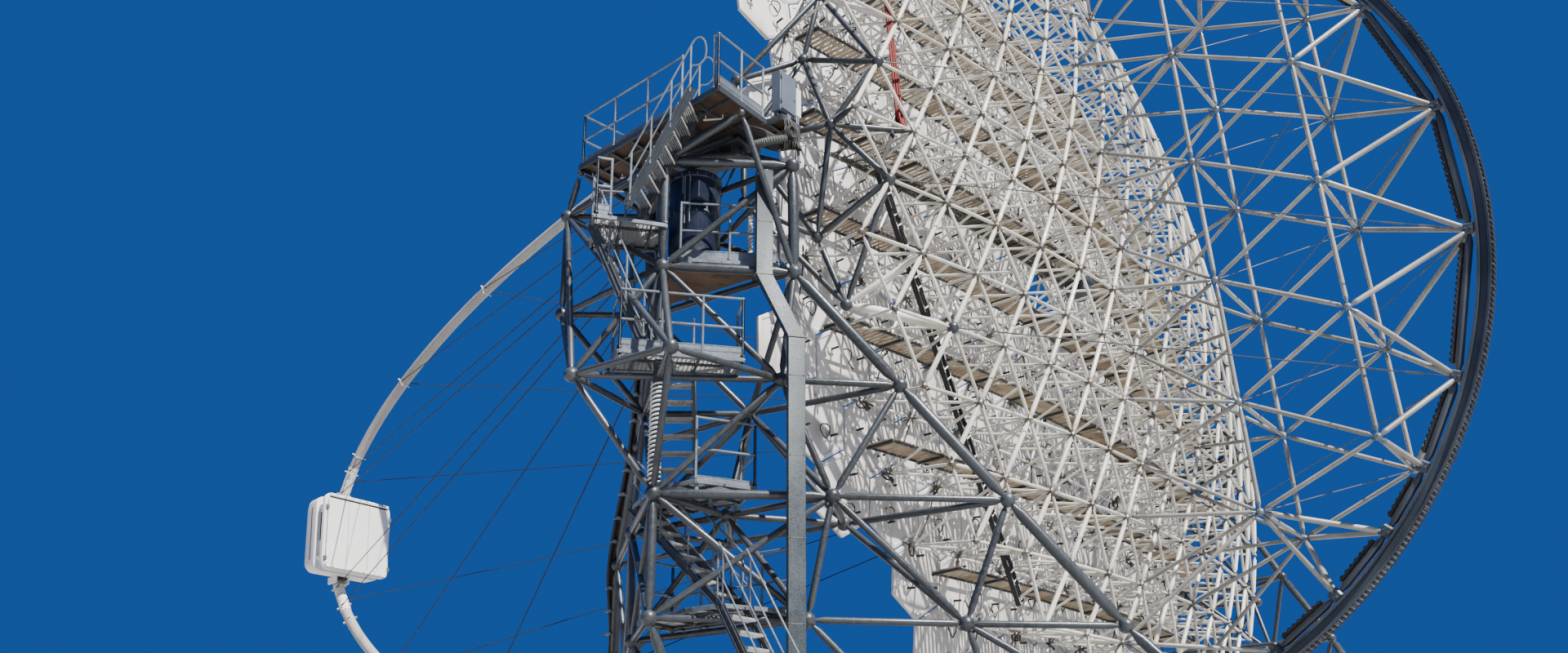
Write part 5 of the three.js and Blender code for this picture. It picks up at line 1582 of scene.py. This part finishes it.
def elevation_drive():
    """The drive on the base frame: its box, its two cheeks and the rollers that carry the rear arch."""
    made, turning = shapes(2)
    block(made, (1.15, -0.5, 1.2), (2.85, 0.5, 1.32), 0.02)
    block(made, (1.2, -0.46, 1.3), (2.8, 0.46, 2.05), 0.04)
    block(made, (1.3, -0.4, 2.0), (2.7, 0.4, 2.72), 0.04)
    half = [(0.75, 2.5), (0.75, 3.2), (0.6, 3.43), (0.3, 3.43), (0.1, 3.1)]
    outline = [(-0.75, 2.5)] + half + [(-x - 0.05 * (z == 3.1), z) for x, z in reversed(half[1:])]
    for y in (-0.34, 0.26):
        loft(made, [np.array([(2 + x, depth, z) for x, z in outline]) for depth in (y + 0.08, y)])
    for x in (1.35, 2.65):
        for y in (-0.43, 0.43):
            nut(made, (x, y, 1.34), UP, 0.08, 0.04)
    for x in (1.55, 2.45):
        z = AXIS_HEIGHT - math.sqrt(ROLLER_ORBIT ** 2 - x ** 2)
        tube(turning, (x, -0.24, z), (x, 0.24, z), 0.4, 32)
        tube(turning, (x, -0.42, z), (x, 0.42, z), 0.12, 16)
        for y in (-0.24, 0.2):
            tube(turning, (x, y, z), (x, y + 0.04, z), 0.43, 32)
    tube(made, (2.0, -0.48, 1.68), (2.0, -0.5, 1.68), 0.5, 24)
    bolt_circle(made, (2.0, -0.5, 1.68), SIDE, 0.2, 10, 0.04)
    piece("elevation_drive_frame", "undercarriage", made, SLATE, ["elevation_drive"])
    piece("elevation_drive_rollers", "undercarriage", turning, BRIGHT)


# Assembly

def both_ends():
    """What stands at both ends of the tilting axis; the far one mirrors the near one."""
    parts = (tower(), bearing(), *top_platform(), *side_frame())
    for side, shapes_here in (("near", parts), ("far", [far_side(shape) for shape in parts])):
        tubes, block_here, steel, under, plates, rails, lamps, bars, shaft, painted = shapes_here
        piece(f"{side}_tower_tubes", "undercarriage", tubes, STEEL, [f"{side}_tower"])
        piece(f"{side}_bearing", "undercarriage", block_here, SLATE, [f"{side}_bearing_block"])
        piece(f"{side}_platform_frame", "undercarriage", steel, STEEL, [f"{side}_top_platform"])
        piece(f"{side}_platform_boards", "undercarriage", under, BOARD)
        piece(f"{side}_platform_plates", "undercarriage", plates, GRATE)
        piece(f"{side}_platform_rails", "undercarriage", rails, BRIGHT)
        piece(f"{side}_platform_lamps", "undercarriage", lamps, WHITE)
        piece(f"{side}_side_tubes", "dish", bars, STEEL, [f"{side}_side_frame"])
        piece(f"{side}_trunnion", "dish", shaft, SLATE)
        piece(f"{side}_side_painted_tubes", "dish", painted, CREAM)


FLOOR_RADIUS = 900.0


def ground():
    """The pale floor, a wide round plate just under the rail."""
    made = Shape()
    slab(made, circle(FLOOR_RADIUS, 96), -0.02, 0.0)
    mesh = bpy.data.meshes.new("floor")
    mesh.from_pydata(np.concatenate(made.points).tolist(), [], made.faces)
    mesh.materials.append(FLOOR)
    add_object("floor", mesh)


rail()
pivot()
base()
bogies()
both_ends()
wrapped_cable()
leg_cables()
for deck in DECKS:
    grated_deck(*deck)
deck_trim()
for flight in FLIGHTS:
    stairs(*flight)
drive_housing()
cabinet()
cabinet_cables()
duct()
elevation_drive()

mirrors()
lattice()
walkways()
cable_ladder()
red_hoses()
middle_tray()
rear_arch()
wedge()
rear_stays()
for sign in HALVES:
    front_arch(sign)
    front_stays(sign)
camera_box()
ground()
